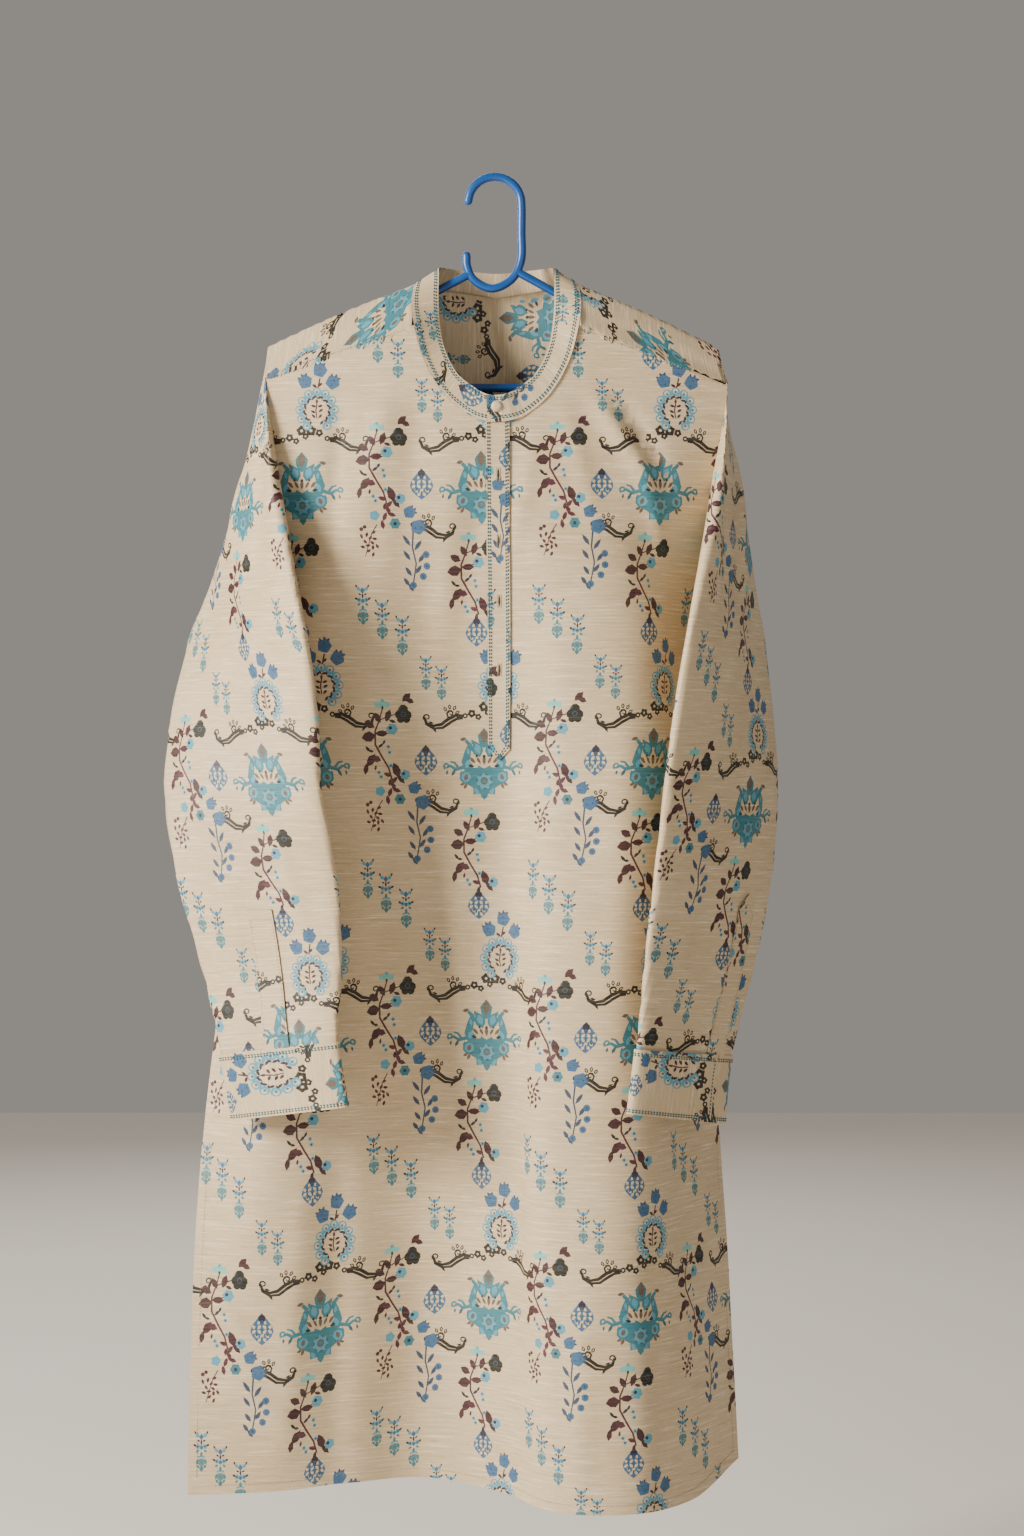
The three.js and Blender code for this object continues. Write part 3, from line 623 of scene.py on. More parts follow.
def leaf(x, y, length, width, degrees, colour):
    """A pointed leaf whose long axis has this direction from the x axis, clockwise."""
    a, b = length * LEAF_LONG / 2, width * LEAF_WIDE / 2
    shape = [(-a, 0), (-0.45 * a, -0.8 * b), (0.25 * a, -b), (a, 0), (0.25 * a, b), (-0.45 * a, 0.8 * b)]
    return [(turned(shape, math.radians(degrees), (x, y)), colour)]


def leaves(*rows):
    return [shape for row in rows for shape in leaf(*row)]


def disc(x, y, radius, colour, count=7):
    angles = np.arange(count) * 2 * np.pi / count + 0.3
    return [(np.stack([x + radius * np.cos(angles), y + radius * np.sin(angles)], -1), colour)]


def ribbon(points, widths, colour):
    """A stroke of changing width through points."""
    points = np.asarray(points, float)
    widths = np.interp(np.linspace(0, 1, len(points)), np.linspace(0, 1, len(widths)), widths)
    along = unit(np.gradient(points, axis=0))
    side = np.stack([-along[:, 1], along[:, 0]], -1) * widths[:, None] * STROKE_WIDE / 2
    return [(np.concatenate([points + side, (points - side)[::-1]]), colour)]


def curl(x, y, radius, turn, start, colour, width):
    """A small spiral stroke."""
    s = np.linspace(0, 1, 9)
    angles = math.radians(start) + turn * s * 2 * np.pi
    r = radius * (1 - 0.72 * s)
    points = np.stack([x + r * np.cos(angles), y + r * np.sin(angles)], -1)
    return ribbon(points, (width, width * 0.7), colour)


def petals(x, y, radius, count, colour, width=0.8, start=0.0):
    out = []
    for i in range(count):
        angle = start + 360 * i / count
        cx = x + 0.55 * radius * math.cos(math.radians(angle))
        cy = y + 0.55 * radius * math.sin(math.radians(angle))
        out += leaf(cx, cy, 0.95 * radius, width * radius, angle, colour)
    return out


def placed(shapes, x=0, y=0, size=(1, 1)):
    return [(points * size + (x, y), colour) for points, colour in shapes]


def medallion():
    side = ribbon([(4, 3), (12, 3), (19, 0), (26, 2), (31, -1), (35, 1)], (4, 2.6, 2.2, 1.2), "teal")
    side += ribbon([(24, 0), (27, -4), (31, -5)], (1.8, 1), "teal") + curl(34, -1, 3.2, -0.8, 60, "teal", 1.4)
    side += leaves((28, 5, 7, 2.2, 60, "deep"), (21, 6, 6, 2, 80, "teal"), (34, 5, 4, 1.6, 80, "deep"))
    side += ribbon([(13, 2), (17, -5), (15, -13), (13, -20), (17, -24)], (6.5, 5, 3.5, 2), "teal")
    side += leaves((15, -3, 8, 3.4, 70, "aqua"), (14.5, -14, 6, 2.2, 100, "aqua"),
                   (19, -25, 6, 2.6, 15, "taupe"), (10, -22, 6, 2.4, -60, "teal"))
    side += disc(16.5, 9, 6.3, "teal", 8) + disc(16.5, 9, 4.6, "aqua", 7) + leaf(16.5, 9, 6, 3, 70, "taupe")
    side += leaves(
        (17, 17, 6, 2.4, 60, "taupe"), (20, 15.5, 5, 2, 20, "taupe"), (13, 15, 5, 3, 120, "deep"),
        (6.2, -16, 14, 8.5, -72, "teal"), (6, -16.5, 9, 4.6, -72, "aqua"), (10.5, -6, 7, 2.4, -50, "taupe"),
        (12, -1, 5, 1.8, -20, "char"), (5, -6, 7, 2, -62, "taupe"))
    side += disc(6.8, -10, 1.3, "char", 5)
    out = side + placed(side, size=(-1, 1))
    out += leaves((0, -26, 17, 9, -90, "teal"), (0, -28, 12, 5.5, -90, "taupe"),
                  (0, -6, 8, 2.6, -90, "taupe"))
    out += disc(0, -9.5, 1.6, "char", 5)
    out += petals(0, 13, 14.5, 9, "teal", 0.52, 90) + disc(0, 13, 7.4, "deep", 10)
    out += petals(0, 13, 7.4, 7, "aqua", 0.5, 110)
    out += disc(0, 12.5, 3.6, "taupe") + disc(0, 12.5, 2.2, "teal", 6)
    return out + leaves((0, 25, 9, 5, 90, "teal"), (-7, 22, 7, 3, 60, "aqua"), (7, 22, 7, 3, 120, "aqua"))


def teardrop(x, y, wide, high):
    """A lacy pointed drop."""
    a, b = wide / 2, high / 2
    rim = [(0, -b), (0.42 * a, -0.62 * b), (0.86 * a, -0.22 * b), (a, 0.12 * b), (0.82 * a, 0.46 * b)]
    rim += [(0.45 * a, 0.74 * b), (0, b)]
    rim += [(-px, py) for px, py in rim[-2:0:-1]]
    out = [(np.array(rim) + (x, y), "blue")]
    for row, (py, count) in enumerate(((-0.42, 2), (-0.12, 4), (0.16, 4), (0.42, 3), (0.66, 2))):
        for i in range(count):
            px = (i - (count - 1) / 2) * 0.46 * a
            out += leaf(x + px, y + py * b, 0.30 * b, 0.2 * a, 90 + 40 * (-1) ** (i + row), "clear")
    for px, py in ((-0.5, -0.05), (0.5, -0.05), (0, 0.1), (-0.45, 0.35), (0.45, 0.35), (0, 0.58)):
        out += leaf(x + px * a, y + py * b, 0.26 * b, 0.16 * a, 90 - 70 * px, "deep")
    return out + leaves((x, y - 0.66 * b, 0.6 * b, 0.5 * a, -90, "indigo"),
                        (x, y - 0.42 * b, 0.3 * b, 0.3 * a, 90, "slate"))


def round_flower(x, y, radius, tilt):
    out = petals(x, y, radius, 5, "blue", 0.95, tilt) + disc(x, y, 0.72 * radius, "blue", 8)
    out += leaf(x, y + 0.1 * radius, radius, 0.36 * radius, 90 + tilt, "indigo")
    out += leaf(x, y + 0.1 * radius, 0.7 * radius, 0.5 * radius, 90 + tilt, "blue")
    for angle in (tilt - 125, tilt - 90, tilt - 55):
        a, far = math.radians(angle), 1.02 * radius
        out += leaf(x + far * math.cos(a), y + far * math.sin(a), 0.5 * radius, 0.26 * radius, angle, "slate")
    return out


def wreath(x, y):
    out = []
    for i in range(11):
        angle = 125 + i * 29
        a = math.radians(angle)
        cx, cy = x + 15.5 * math.cos(a), y + 16.5 * math.sin(a)
        out += disc(cx, cy, 4.4, "aqua", 8)
        out += disc(cx + 0.9 * math.cos(a), cy + 0.9 * math.sin(a), 2.5, "clear", 6)
        out += disc(cx, cy, 1.3, "blue", 5)
        b = a + 0.22
        out += leaf(x + 11 * math.cos(b), y + 11.8 * math.sin(b), 5, 1.8, angle + 70, "indigo")
        out += leaf(x + 11.6 * math.cos(a - 0.1), y + 12.4 * math.sin(a - 0.1), 3.4, 1.4, angle - 40, "wine")
    out += ribbon([(x, y - 6), (x - 1, y), (x, y + 7)], (0.9, 0.7), "mauve")
    stem = ((-3, -4, 20), (3, -4, -20), (-3.5, 1, 30), (3.5, 0, -30), (-3, 5, 45), (3, 5, -45), (0, -8, 90))
    for dx, dy, angle in stem:
        out += leaf(x + dx, y + dy, 4.6, 1.8, angle, "wine" if dx else "mauve")
    for dx, dy, tilt in ((3, -36, 0), (-10.5, -26, -28), (14.5, -25, 28)):
        out += round_flower(x + dx, y + dy, 6.4, tilt)
    out += ribbon([(x + 3, y - 29), (x + 1, y - 20)], (0.9, 0.9), "wine")
    return out + leaves((x + 3, y - 23, 5, 2, -40, "wine"), (x - 2, y - 22, 5, 2, 210, "wine"))


def scroll(x, y, flip=1):
    """A leafy line scroll, 36 wide, from its tail curl to its thick head."""
    path = np.array([(-18, -3), (-16, 3), (-10, 6), (-2, 5), (5, 0), (11, -3), (17, -3)], float)
    out = ribbon(path, (1.4, 2.6, 4.2, 4.6, 3), "char")
    out += ribbon(path[2:-1] + (0, 0.3), (0.2, 0.6, 0.4), "clear")
    out += curl(-15.5, -2.5, 3.6, 0.9, 150, "char", 1.1) + leaf(-9, 8, 7, 1.8, 60, "char")
    out += curl(6, -6, 4.8, 1.1, 30, "char", 1.3) + curl(6, -6, 2.6, 1, 200, "char", 0.9)
    for dx, dy, angle in ((1, -10, 240), (5, -12, 265), (9.5, -11, 300), (12, -7, 330)):
        out += leaf(dx, dy, 4.6, 2.4, angle, "char") + leaf(dx, dy, 2.2, 0.8, angle, "clear")
    out += leaf(-12, 2, 5, 1.4, 200, "char") + disc(19, -4, 2.6, "char") + disc(19, -4, 1.1, "clear", 5)
    return placed(out, x, y, (flip, 1))


def garland():
    out = scroll(-36, -42) + scroll(42, -43, -1)
    links = ((-11, -48, 3.2), (-5, -45, 2.6), (0, -54, 4.0), (8.5, -54, 4.2), (16, -52, 3), (3.5, -49, 2.6))
    for x, y, r in links:
        out += petals(x, y, r * 1.2, 5, "char", 0.7, 30 * r) + disc(x, y, 0.34 * r, "clear", 6)
    return out


def vine(x, y, bud):
    """A hanging stem with a rose, leaves and small flowers, from its mint flower at the top."""
    out = ribbon([(0, 4), (-3, 14), (-7, 24), (-7, 36), (-1, 47), (5, 57), (8, 68)], (0.8, 1.3, 1.1), "mauve")
    out += ribbon([(-3, 14), (5, 11), (14, 8)], (0.8, 0.7), "mauve")
    out += ribbon([(-6, 26), (3, 24), (8, 22)], (0.7, 0.7), "mauve")
    for dx in (-4.8, -2, 1.2, 4.4):
        out += leaf(dx, -0.6 + abs(dx) * 0.2, 6, 4, -90 + dx * 9, "mint")
    out += leaf(0, 3, 3.4, 1.8, 90, "indigo") + disc(0, -3.4, 1.6, "aqua", 6)
    for dx, dy, r in ((-3.4, 1, 4.4), (3.4, 1.4, 4.4), (0, -3.6, 4.6), (-2.4, 5, 3.6), (2.8, 5, 3.6)):
        out += disc(19 + dx, 8 + dy, r, "rose", 8)
    out += disc(19, 8.6, 2.6, "slate") + disc(19, 8.8, 1.7, "rose", 6) + leaf(15.5, 3.4, 4, 1.2, 130, "slate")
    foliage = (
        (5, 10, 9, 4, -70, "wine"), (-4.5, 12, 8, 3.8, 60, "wine"), (-12, 18, 8, 4.4, 30, "wine"),
        (-13, 29, 10, 6.4, -10, "wine"), (-1, 26, 9, 4, 0, "wine"), (-2, 37, 5, 1.8, -40, "indigo"),
        (1, 34, 4, 1.6, -60, "indigo"), (-14, 40, 5, 1.8, 50, "rose"), (-11, 42, 4, 1.6, 10, "rose"),
        (-11, 50, 10, 5, -55, "wine"), (-6, 49, 7, 4, 20, "mauve"), (-16, 58, 8, 3.2, 100, "wine"),
        (-7, 57, 4, 1.5, 100, "mauve"), (12, 59, 11, 5, 70, "wine"), (16, 67, 8, 3, 50, "wine"),
        (4, 63, 6, 2.6, 20, "mauve"), (6, 70, 5, 2.2, 100, "wine"), (9, 15, 5, 2, 20, "wine"),
    )
    for dx, dy, length, width, angle, colour in foliage:
        out += leaf(dx, dy, 1.22 * length, 1.15 * width, angle, colour)
    for dx, dy, r in ((8.5, 22, 5.2), (20, 63, 4.6)):
        out += petals(dx, dy, r, 6, "aqua", 0.9, dx) + disc(dx - 1.5, dy - 1, 1.7, "indigo", 6)
    for dx, dy in ((5, 38), (6, 43), (-4, 61), (-2, 65), (7, 55)):
        out += disc(dx, dy, 1.9, "aqua", 6) + disc(dx, dy, 0.8, "indigo", 5)
    if bud:
        out += leaves((22, -6.5, 10, 4.6, -45, "wine"), (25, -3.6, 8, 3.8, 25, "wine"))
    return placed(out, x, y)


def hanging_branch(x, y):
    """Blue flowers, pods and a drooping leafy branch at the foot of the long vine."""
    out = ribbon([(0, 0), (-1, 14), (2, 28), (0, 40), (-2, 50)], (1.1, 0.8), "slate")
    pods = ((-6, 8), (4, 12), (-6, 21), (7, 23), (-5, 35), (4, 33), (-7, 44), (-3, 49))
    for i, (dx, dy) in enumerate(pods):
        out += leaf(dx, dy, 11 - 0.5 * i, 2.8, 55 if dx < 0 else 125, "slate")
    for dx, dy in ((11, 20), (11.5, 30), (8, 39), (-1, 47)):
        out += disc(dx, dy, 3.3, "blue", 8) + leaf(dx, dy, 3.6, 1.2, 70, "slate")
    return placed(out, x, y)


def spray(x, y):
    out = ribbon([(8, -12), (3, -4), (0, 6), (-3, 16)], (0.7, 0.5), "mauve")
    for i in range(13):
        angle = i * 137.5
        a, r = math.radians(angle), 2.6 + 0.95 * i ** 0.9
        out += leaf(0.75 * r * math.cos(a) + 1.5, 4 + r * math.sin(a), 4.4, 2, angle + 40,
                    "wine" if i % 2 else "mauve")
    out += disc(-6, -8, 2, "mauve", 6) + disc(-3, -10, 1.8, "wine", 6)
    return placed(out, x, y)


def vase(x, y, size=1.0):
    """A small urn with two tiers of blossom."""
    side = leaves((3.6, -14, 4.6, 2.6, -40, "aqua"), (5.6, -16.6, 3, 1.4, -60, "wine"))
    side += disc(3.2, -4.5, 2.3, "aqua", 6)
    side += leaves((6, -5.6, 3.4, 1.6, -30, "wine"), (3.6, -0.6, 3.6, 1.6, 30, "teal"))
    side += disc(3.4, -4.5, 0.9, "indigo", 5)
    side += leaves((3.8, 8.6, 5, 2.2, 70, "teal"), (2.2, 4.4, 3.6, 1.6, 20, "aqua"),
                   (2.6, -9.4, 3, 1.2, -30, "indigo"), (3.2, 12.8, 4, 1.8, 130, "teal"))
    out = side + placed(side, size=(-1, 1))
    out += leaves((0, -12.6, 5, 3, 90, "blue"), (0, -8, 4.6, 1.4, 90, "indigo"),
                  (0, -3.6, 4, 2.4, 90, "blue"))
    out += disc(0, 9, 3.6, "grey", 8) + disc(0, 9, 1.4, "teal", 6)
    out += leaves((0, 2.4, 5, 2, 90, "teal"), (0, 14.6, 5, 3, 90, "teal"))
    return placed(out, x, y, (0.95 * size, 1.02 * size))


def repeat_cell():
    out = garland() + medallion() + teardrop(-53, -6, 21, 28) + wreath(14, -72)
    out += vine(68, -56, True) + vine(-12, 41, False) + teardrop(-6, 124, 20, 27)
    out += scroll(118, 34, -1) + hanging_branch(99, 36) + spray(59, 42)
    out += round_flower(96, 19, 5.6, 60) + round_flower(103.5, 32, 6.6, 80)
    out += petals(65, 22, 4.6, 5, "aqua") + petals(83, 29, 5, 6, "teal") + disc(83, 29, 1.8, "indigo", 5)
    for dx, dy, angle in ((77, 17, 60), (74, 23, 110), (80, 21, 20), (72, 30, 80), (78, 12, 130)):
        out += leaf(dx, dy, 8, 3, angle, "mauve")
    for dx, dy in ((52, 101), (69, 114), (87, 128)):
        out += vase(dx, dy)
    return out + vase(-52, -84, 0.86) + vase(-38, -75, 0.86)


CELL = repeat_cell()
CELL_CORNERS = np.array([(x, y) for x in (-75, 145) for y in (-125, 150)], float)


def prints_over(outline, origin, turn=0.0, flip=False, droop=None):
    """The repeats that touch an outline, laid from a medallion's centre at origin."""
    low, high = outline.min(axis=0) - PRINT_ROOM, outline.max(axis=0) + PRINT_ROOM
    c, s = math.cos(turn), math.sin(turn)
    rotate = np.array(((c, s), (-s, c)))
    sides = (-1, 1) if flip else (1, 1)

    def near(points, shift):
        place = (points + shift) @ rotate * sides + origin
        far = (place.max(axis=0) < low).any() or (place.min(axis=0) > high).any()
        return None if far else place

    found = []
    for i, j in itertools.product(range(-8, 9), repeat=2):
        shift = np.array((i * REPEAT_T, j * REPEAT_V), float)
        if near(CELL_CORNERS, shift) is None:
            continue
        for points, colour in CELL:
            place = near(points, shift)
            if place is not None:
                found.append((place if droop is None else place + droop(place), colour))
    return found


def dense(outline, step):
    """The outline with long edges divided."""
    out = []
    for a, b in zip(outline, np.roll(outline, -1, axis=0)):
        count = max(int(math.ceil(np.linalg.norm(b - a) / step)), 1)
        out += [a + (b - a) * i / count for i in range(count)]
    return np.array(out)


def inside(points, outline):
    """Which points lie in a closed outline."""
    x, y = points[:, 0][:, None], points[:, 1][:, None]
    ax, ay = outline[:, 0][None], outline[:, 1][None]
    bx, by = np.roll(outline[:, 0], -1)[None], np.roll(outline[:, 1], -1)[None]
    cross = (ay > y) != (by > y)
    with np.errstate(divide="ignore", invalid="ignore"):
        at = (bx - ax) * (y - ay) / (by - ay) + ax
    return (np.sum(cross & (x < at), axis=1) % 2) == 1


def edge_distance(points, outline):
    """Distance of each point from a closed outline."""
    best = np.full(len(points), 1e9)
    for a, b in zip(outline, np.roll(outline, -1, axis=0)):
        run = b - a
        s = np.clip(((points - a) @ run) / max(run @ run, 1e-9), 0, 1)
        best = np.minimum(best, np.linalg.norm(points - a - s[:, None] * run, axis=1))
    return best


def signed_area(outline):
    x, y = outline[:, 0], outline[:, 1]
    return (np.dot(x, np.roll(y, -1)) - np.dot(y, np.roll(x, -1))) / 2


def triangulate(outline, spacing, shapes):
    """Flat triangles of an outline with the printed shapes cut into them, and a colour each."""
    low, high = outline.min(axis=0), outline.max(axis=0)
    u = np.arange(low[0] + spacing / 2, high[0], spacing)
    w = np.arange(low[1] + spacing / 2, high[1], spacing)
    grid = np.stack(np.meshgrid(u, w), -1).reshape(-1, 2)
    grid = grid[inside(grid, outline)]
    grid = grid[edge_distance(grid, outline) > 0.4 * spacing]
    verts = [Vector(p) for p in outline] + [Vector(p) for p in grid]
    faces, colours = [list(range(len(outline)))], [None]
    if signed_area(outline) < 0:
        faces[0].reverse()
    for points, colour in shapes:
        faces.append(list(range(len(verts), len(verts) + len(points))))
        if signed_area(points) < 0:
            faces[-1].reverse()
        verts += [Vector(p) for p in points]
        colours.append(colour)
    made, _, triangles, _, _, origins = delaunay_2d_cdt(verts, [], faces, 0, 1e-3, True)
    kept, paint = [], []
    for triangle, origin in zip(triangles, origins):
        if 0 in origin:
            kept.append(tuple(triangle))
            paint.append(colours[max(origin)])
    flat = np.array([tuple(p) for p in made])
    used = np.unique(np.array(kept).ravel())
    remap = np.full(len(flat), -1)
    remap[used] = np.arange(len(used))
    return flat[used], remap[np.array(kept)], paint


def rim_loops(triangles):
    """Closed loops of border vertices."""
    seen = {}
    for a, b, c in triangles:
        for edge in ((a, b), (b, c), (c, a)):
            seen[edge] = True
    following = {a: b for a, b in seen if (b, a) not in seen}
    loops = []
    while following:
        start = next(iter(following))
        loop, at = [], start
        while at in following:
            loop.append(at)
            at = following.pop(at)
        loops.append(loop)
    return loops


def linear(colour):
    parts = [(colour >> shift & 255) / 255 for shift in (16, 8, 0)]
    return [p / 12.92 if p < 0.04045 else ((p + 0.055) / 1.055) ** 2.4 for p in parts]


FACING_SAMPLES = 200
MAP_SHARE = 0.49
PAINTS = {name: (*linear(value), 1.0) for name, value in COLOURS.items()}
PAINTS["clear"] = PAINTS[None] = (1.0, 1.0, 1.0, 0.0)


def cloth_piece(name, patch, outline, shapes, thick=CLOTH, lift=0.0, spacing=6.0, swap=False,
                inner_shapes=(), swell=None):
    """A thin closed shell over part of a patch, printed on its outside."""
    outline = dense(np.asarray(outline, float), spacing)
    flat, triangles, paint = triangulate(outline, spacing, shapes)
    loop = max(rim_loops(triangles), key=len)
    border = flat[loop]
    flat_in, triangles_in, paint_in = triangulate(border, 2 * spacing, inner_shapes)
    points, normals = patch.at(*flat.T)
    height = lift + thick / 2 + (swell(*flat.T) if swell else np.zeros(len(flat)))
    outer = points + normals * height[:, None]
    base_in, normals_in = patch.at(*flat_in.T)
    inner = base_in + normals_in * (lift - thick / 2)
    sample = slice(0, len(triangles), max(len(triangles) // FACING_SAMPLES, 1))
    corners = outer[triangles[sample]]
    facing = np.cross(corners[:, 1] - corners[:, 0], corners[:, 2] - corners[:, 0])
    same = (facing * normals[triangles[sample][:, 0]]).sum() > 0
    if not same:
        triangles = triangles[:, ::-1]
    shift = len(outer)
    order = {tuple(np.round(p, 3)): i for i, p in enumerate(flat_in)}
    partner = [order[tuple(np.round(p, 3))] + shift for p in border]
    faces = [tuple(t) for t in triangles]
    back_faces = triangles_in + shift
    faces += [tuple(t) for t in (back_faces[:, ::-1] if same else back_faces)]
    for i in range(-1, len(loop) - 1):
        quad = (loop[i + 1], loop[i], partner[i], partner[i + 1])
        faces.append(quad if same else quad[::-1])
    piece = new_piece(name, (np.concatenate([outer, inner]) * MM).tolist(), faces, SILK)
    mesh = piece.data
    paint_corners(mesh, faces, paint + paint_in + [None] * len(loop))
    cloth_maps(mesh, faces, np.concatenate([flat, flat_in]), shift, swap)
    mesh.update()
    mesh.normals_split_custom_set_from_vertices(np.concatenate([normals, -normals_in]).tolist())
    return piece


def paint_corners(mesh, faces, colours):
    """The print's colours, one for each face, in a colour attribute whose alpha tells cloth from print."""
    layer = mesh.color_attributes.new("Print", "FLOAT_COLOR", "CORNER")
    sizes = [len(f) for f in faces]
    values = np.repeat(np.array([PAINTS[c] for c in colours], np.float32), sizes, axis=0)
    layer.data.foreach_set("color", values.ravel())


def cloth_maps(mesh, faces, flat, shift, swap):
    """Two maps: the flat cloth in metres, and one square for both sides of the cloth."""
    corners = np.concatenate([np.array(f) for f in faces])
    flat_uv = flat[corners] * MM
    if swap:
        flat_uv = flat_uv[:, ::-1]
    low, high = flat.min(axis=0), flat.max(axis=0)
    square = (flat - low) / (high - low).max() * MAP_SHARE
    square[shift:, 0] += 0.5
    for label, values in (("OFBake", square[corners]), ("Cloth", flat_uv)):
        layer = mesh.uv_layers.new(name=label)
        layer.data.foreach_set("uv", np.ascontiguousarray(values, dtype=np.float32).ravel())


# Materials
class Shader:
    """A material and short calls for its nodes."""

    def __init__(self, name):
        self.material = bpy.data.materials.new(name)
        self.material.use_nodes = True
        self.nodes = self.material.node_tree.nodes
        self.links = self.material.node_tree.links
        self.bsdf = self.nodes["Principled BSDF"]

    def node(self, kind, **settings):
        made = self.nodes.new(kind)
        for key, value in settings.items():
            setattr(made, key, value)
        return made

    def link(self, source, target):
        self.links.new(source, target)

    def noise(self, vector, scale, detail=2.0, roughness=0.5, stretch=(1, 1, 1)):
        mapping = self.node("ShaderNodeMapping")
        mapping.inputs["Scale"].default_value = stretch
        self.link(vector, mapping.inputs["Vector"])
        made = self.node("ShaderNodeTexNoise")
        made.inputs["Scale"].default_value = scale
        made.inputs["Detail"].default_value = detail
        made.inputs["Roughness"].default_value = roughness
        self.link(mapping.outputs["Vector"], made.inputs["Vector"])
        return made.outputs["Fac"]

    def ramp(self, source, stops):
        made = self.node("ShaderNodeValToRGB")
        while len(made.color_ramp.elements) < len(stops):
            made.color_ramp.elements.new(0.5)
        for element, (place, value) in zip(made.color_ramp.elements, stops):
            element.position = place
            element.color = (*value, 1) if np.ndim(value) else (value, value, value, 1)
        self.link(source, made.inputs["Fac"])
        return made.outputs["Color"]

    def fill(self, socket, value):
        if hasattr(value, "is_linked"):
            self.link(value, socket)
        else:
            socket.default_value = value

    def mix(self, factor, a, b, blend="MIX"):
        made = self.node("ShaderNodeMix", data_type="RGBA", blend_type=blend)
        for value, i in ((factor, 0), (a, 6), (b, 7)):
            self.fill(made.inputs[i], value)
        return made.outputs[2]

    def blend(self, source, a, b, low=0.35, high=0.65):
        return self.mix(self.ramp(source, ((low, 0.0), (high, 1.0))), a, b)

    def maths(self, operation, a, b):
        made = self.node("ShaderNodeMath", operation=operation)
        self.fill(made.inputs[0], a)
        self.fill(made.inputs[1], b)
        return made.outputs[0]

    def bump(self, height, strength, distance):
        made = self.node("ShaderNodeBump")
        made.inputs["Strength"].default_value = strength
        made.inputs["Distance"].default_value = distance
        self.link(height, made.inputs["Height"])
        self.link(made.outputs["Normal"], self.bsdf.inputs["Normal"])

    def surface(self, **values):
        for key, value in values.items():
            self.fill(self.bsdf.inputs[key.replace("_", " ")], value)


def silk_material():
    """Cream silk with slub streaks across, its print in a colour attribute."""
    s = Shader("printed_silk")
    flat = s.node("ShaderNodeUVMap", uv_map="Cloth").outputs["UV"]
    broad = s.noise(flat, 9, 2, 0.5, (1, 1.6, 1))
    slub = s.noise(flat, 1, 3, 0.62, (24, 560, 1))
    thread = s.noise(flat, 1, 2, 0.7, (160, 1900, 1))
    warp = s.noise(flat, 1, 1, 0.5, (1500, 60, 1))
    base = s.blend(broad, (0.53, 0.405, 0.25, 1), (0.58, 0.455, 0.29, 1), 0.3, 0.7)
    pale = s.ramp(slub, ((0.54, 0.0), (0.68, 1.0)))
    dark = s.ramp(slub, ((0.32, 1.0), (0.46, 0.0)))
    base = s.mix(s.maths("MULTIPLY", pale, 0.6), base, (0.82, 0.71, 0.52, 1))
    base = s.mix(s.maths("MULTIPLY", dark, 0.42), base, (0.36, 0.255, 0.14, 1))
    grain = s.ramp(thread, ((0.3, 0.86), (0.7, 1.08)))
    base = s.mix(1.0, base, grain, "MULTIPLY")
    print_node = s.node("ShaderNodeVertexColor", layer_name="Print")
    ink = s.mix(1.0, print_node.outputs["Color"], s.ramp(thread, ((0.3, 0.8), (0.7, 1.15))), "MULTIPLY")
    covered = s.maths("MULTIPLY", print_node.outputs["Alpha"], s.ramp(slub, ((0.3, 1.0), (0.75, 0.9))))
    weave = s.maths("ADD", thread, s.maths("MULTIPLY", warp, 0.5))
    s.bump(s.maths("ADD", s.maths("MULTIPLY", slub, 1.6), weave), 0.35, 0.0005)
    s.surface(Base_Color=s.mix(covered, base, ink), Roughness=s.ramp(slub, ((0.3, 0.56), (0.7, 0.44))),
              Sheen_Weight=0.05, Sheen_Roughness=0.4, Specular_IOR_Level=0.28)
    return s.material


def thread_material(name, colour):
    s = Shader(name)
    place = s.node("ShaderNodeTexCoord").outputs["Object"]
    twist = s.noise(place, 1400, 1)
    low = tuple(c * 0.75 for c in linear(colour)) + (1,)
    s.bump(twist, 0.4, 0.0002)
    s.surface(Base_Color=s.blend(twist, low, (*linear(colour), 1)), Roughness=0.55, Sheen_Weight=0.15)
    return s.material


def plastic_material():
    s = Shader("hanger_plastic")
    place = s.node("ShaderNodeTexCoord").outputs["Object"]
    cloud = s.noise(place, 22, 3)
    fine = s.noise(place, 420, 2)
    s.bump(fine, 0.06, 0.0003)
    s.surface(Base_Color=s.blend(cloud, (0.003, 0.058, 0.24, 1), (0.006, 0.075, 0.29, 1)),
              Roughness=s.ramp(cloud, ((0.3, 0.26), (0.7, 0.38))),
              Specular_IOR_Level=0.5, Subsurface_Weight=0.04)
    return s.material


def button_material():
    s = Shader("covered_button")
    place = s.node("ShaderNodeTexCoord").outputs["Object"]
    weft = s.noise(place, 1, 2, 0.6, (300, 300, 1700))
    s.bump(weft, 0.4, 0.0003)
    s.surface(Base_Color=s.blend(weft, (0.47, 0.36, 0.22, 1), (0.62, 0.5, 0.34, 1)),
              Roughness=0.45, Sheen_Weight=0.2)
    return s.material


def floor_material():
    s = Shader("pale_floor")
    place = s.node("ShaderNodeTexCoord").outputs["Object"]
    cloud = s.noise(place, 1.5, 3)
    s.surface(Base_Color=s.mix(cloud, (0.78, 0.74, 0.68, 1), (0.82, 0.78, 0.73, 1)), Roughness=0.9)
    return s.material


SILK = silk_material()
TEAL_THREAD = thread_material("teal_thread", 0x0D5A68)
CREAM_THREAD = thread_material("cream_thread", 0xA08A66)


def finish_piece(piece, nodes):
    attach(piece, "root")
    if nodes:
        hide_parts(*nodes)


SHEETS = []


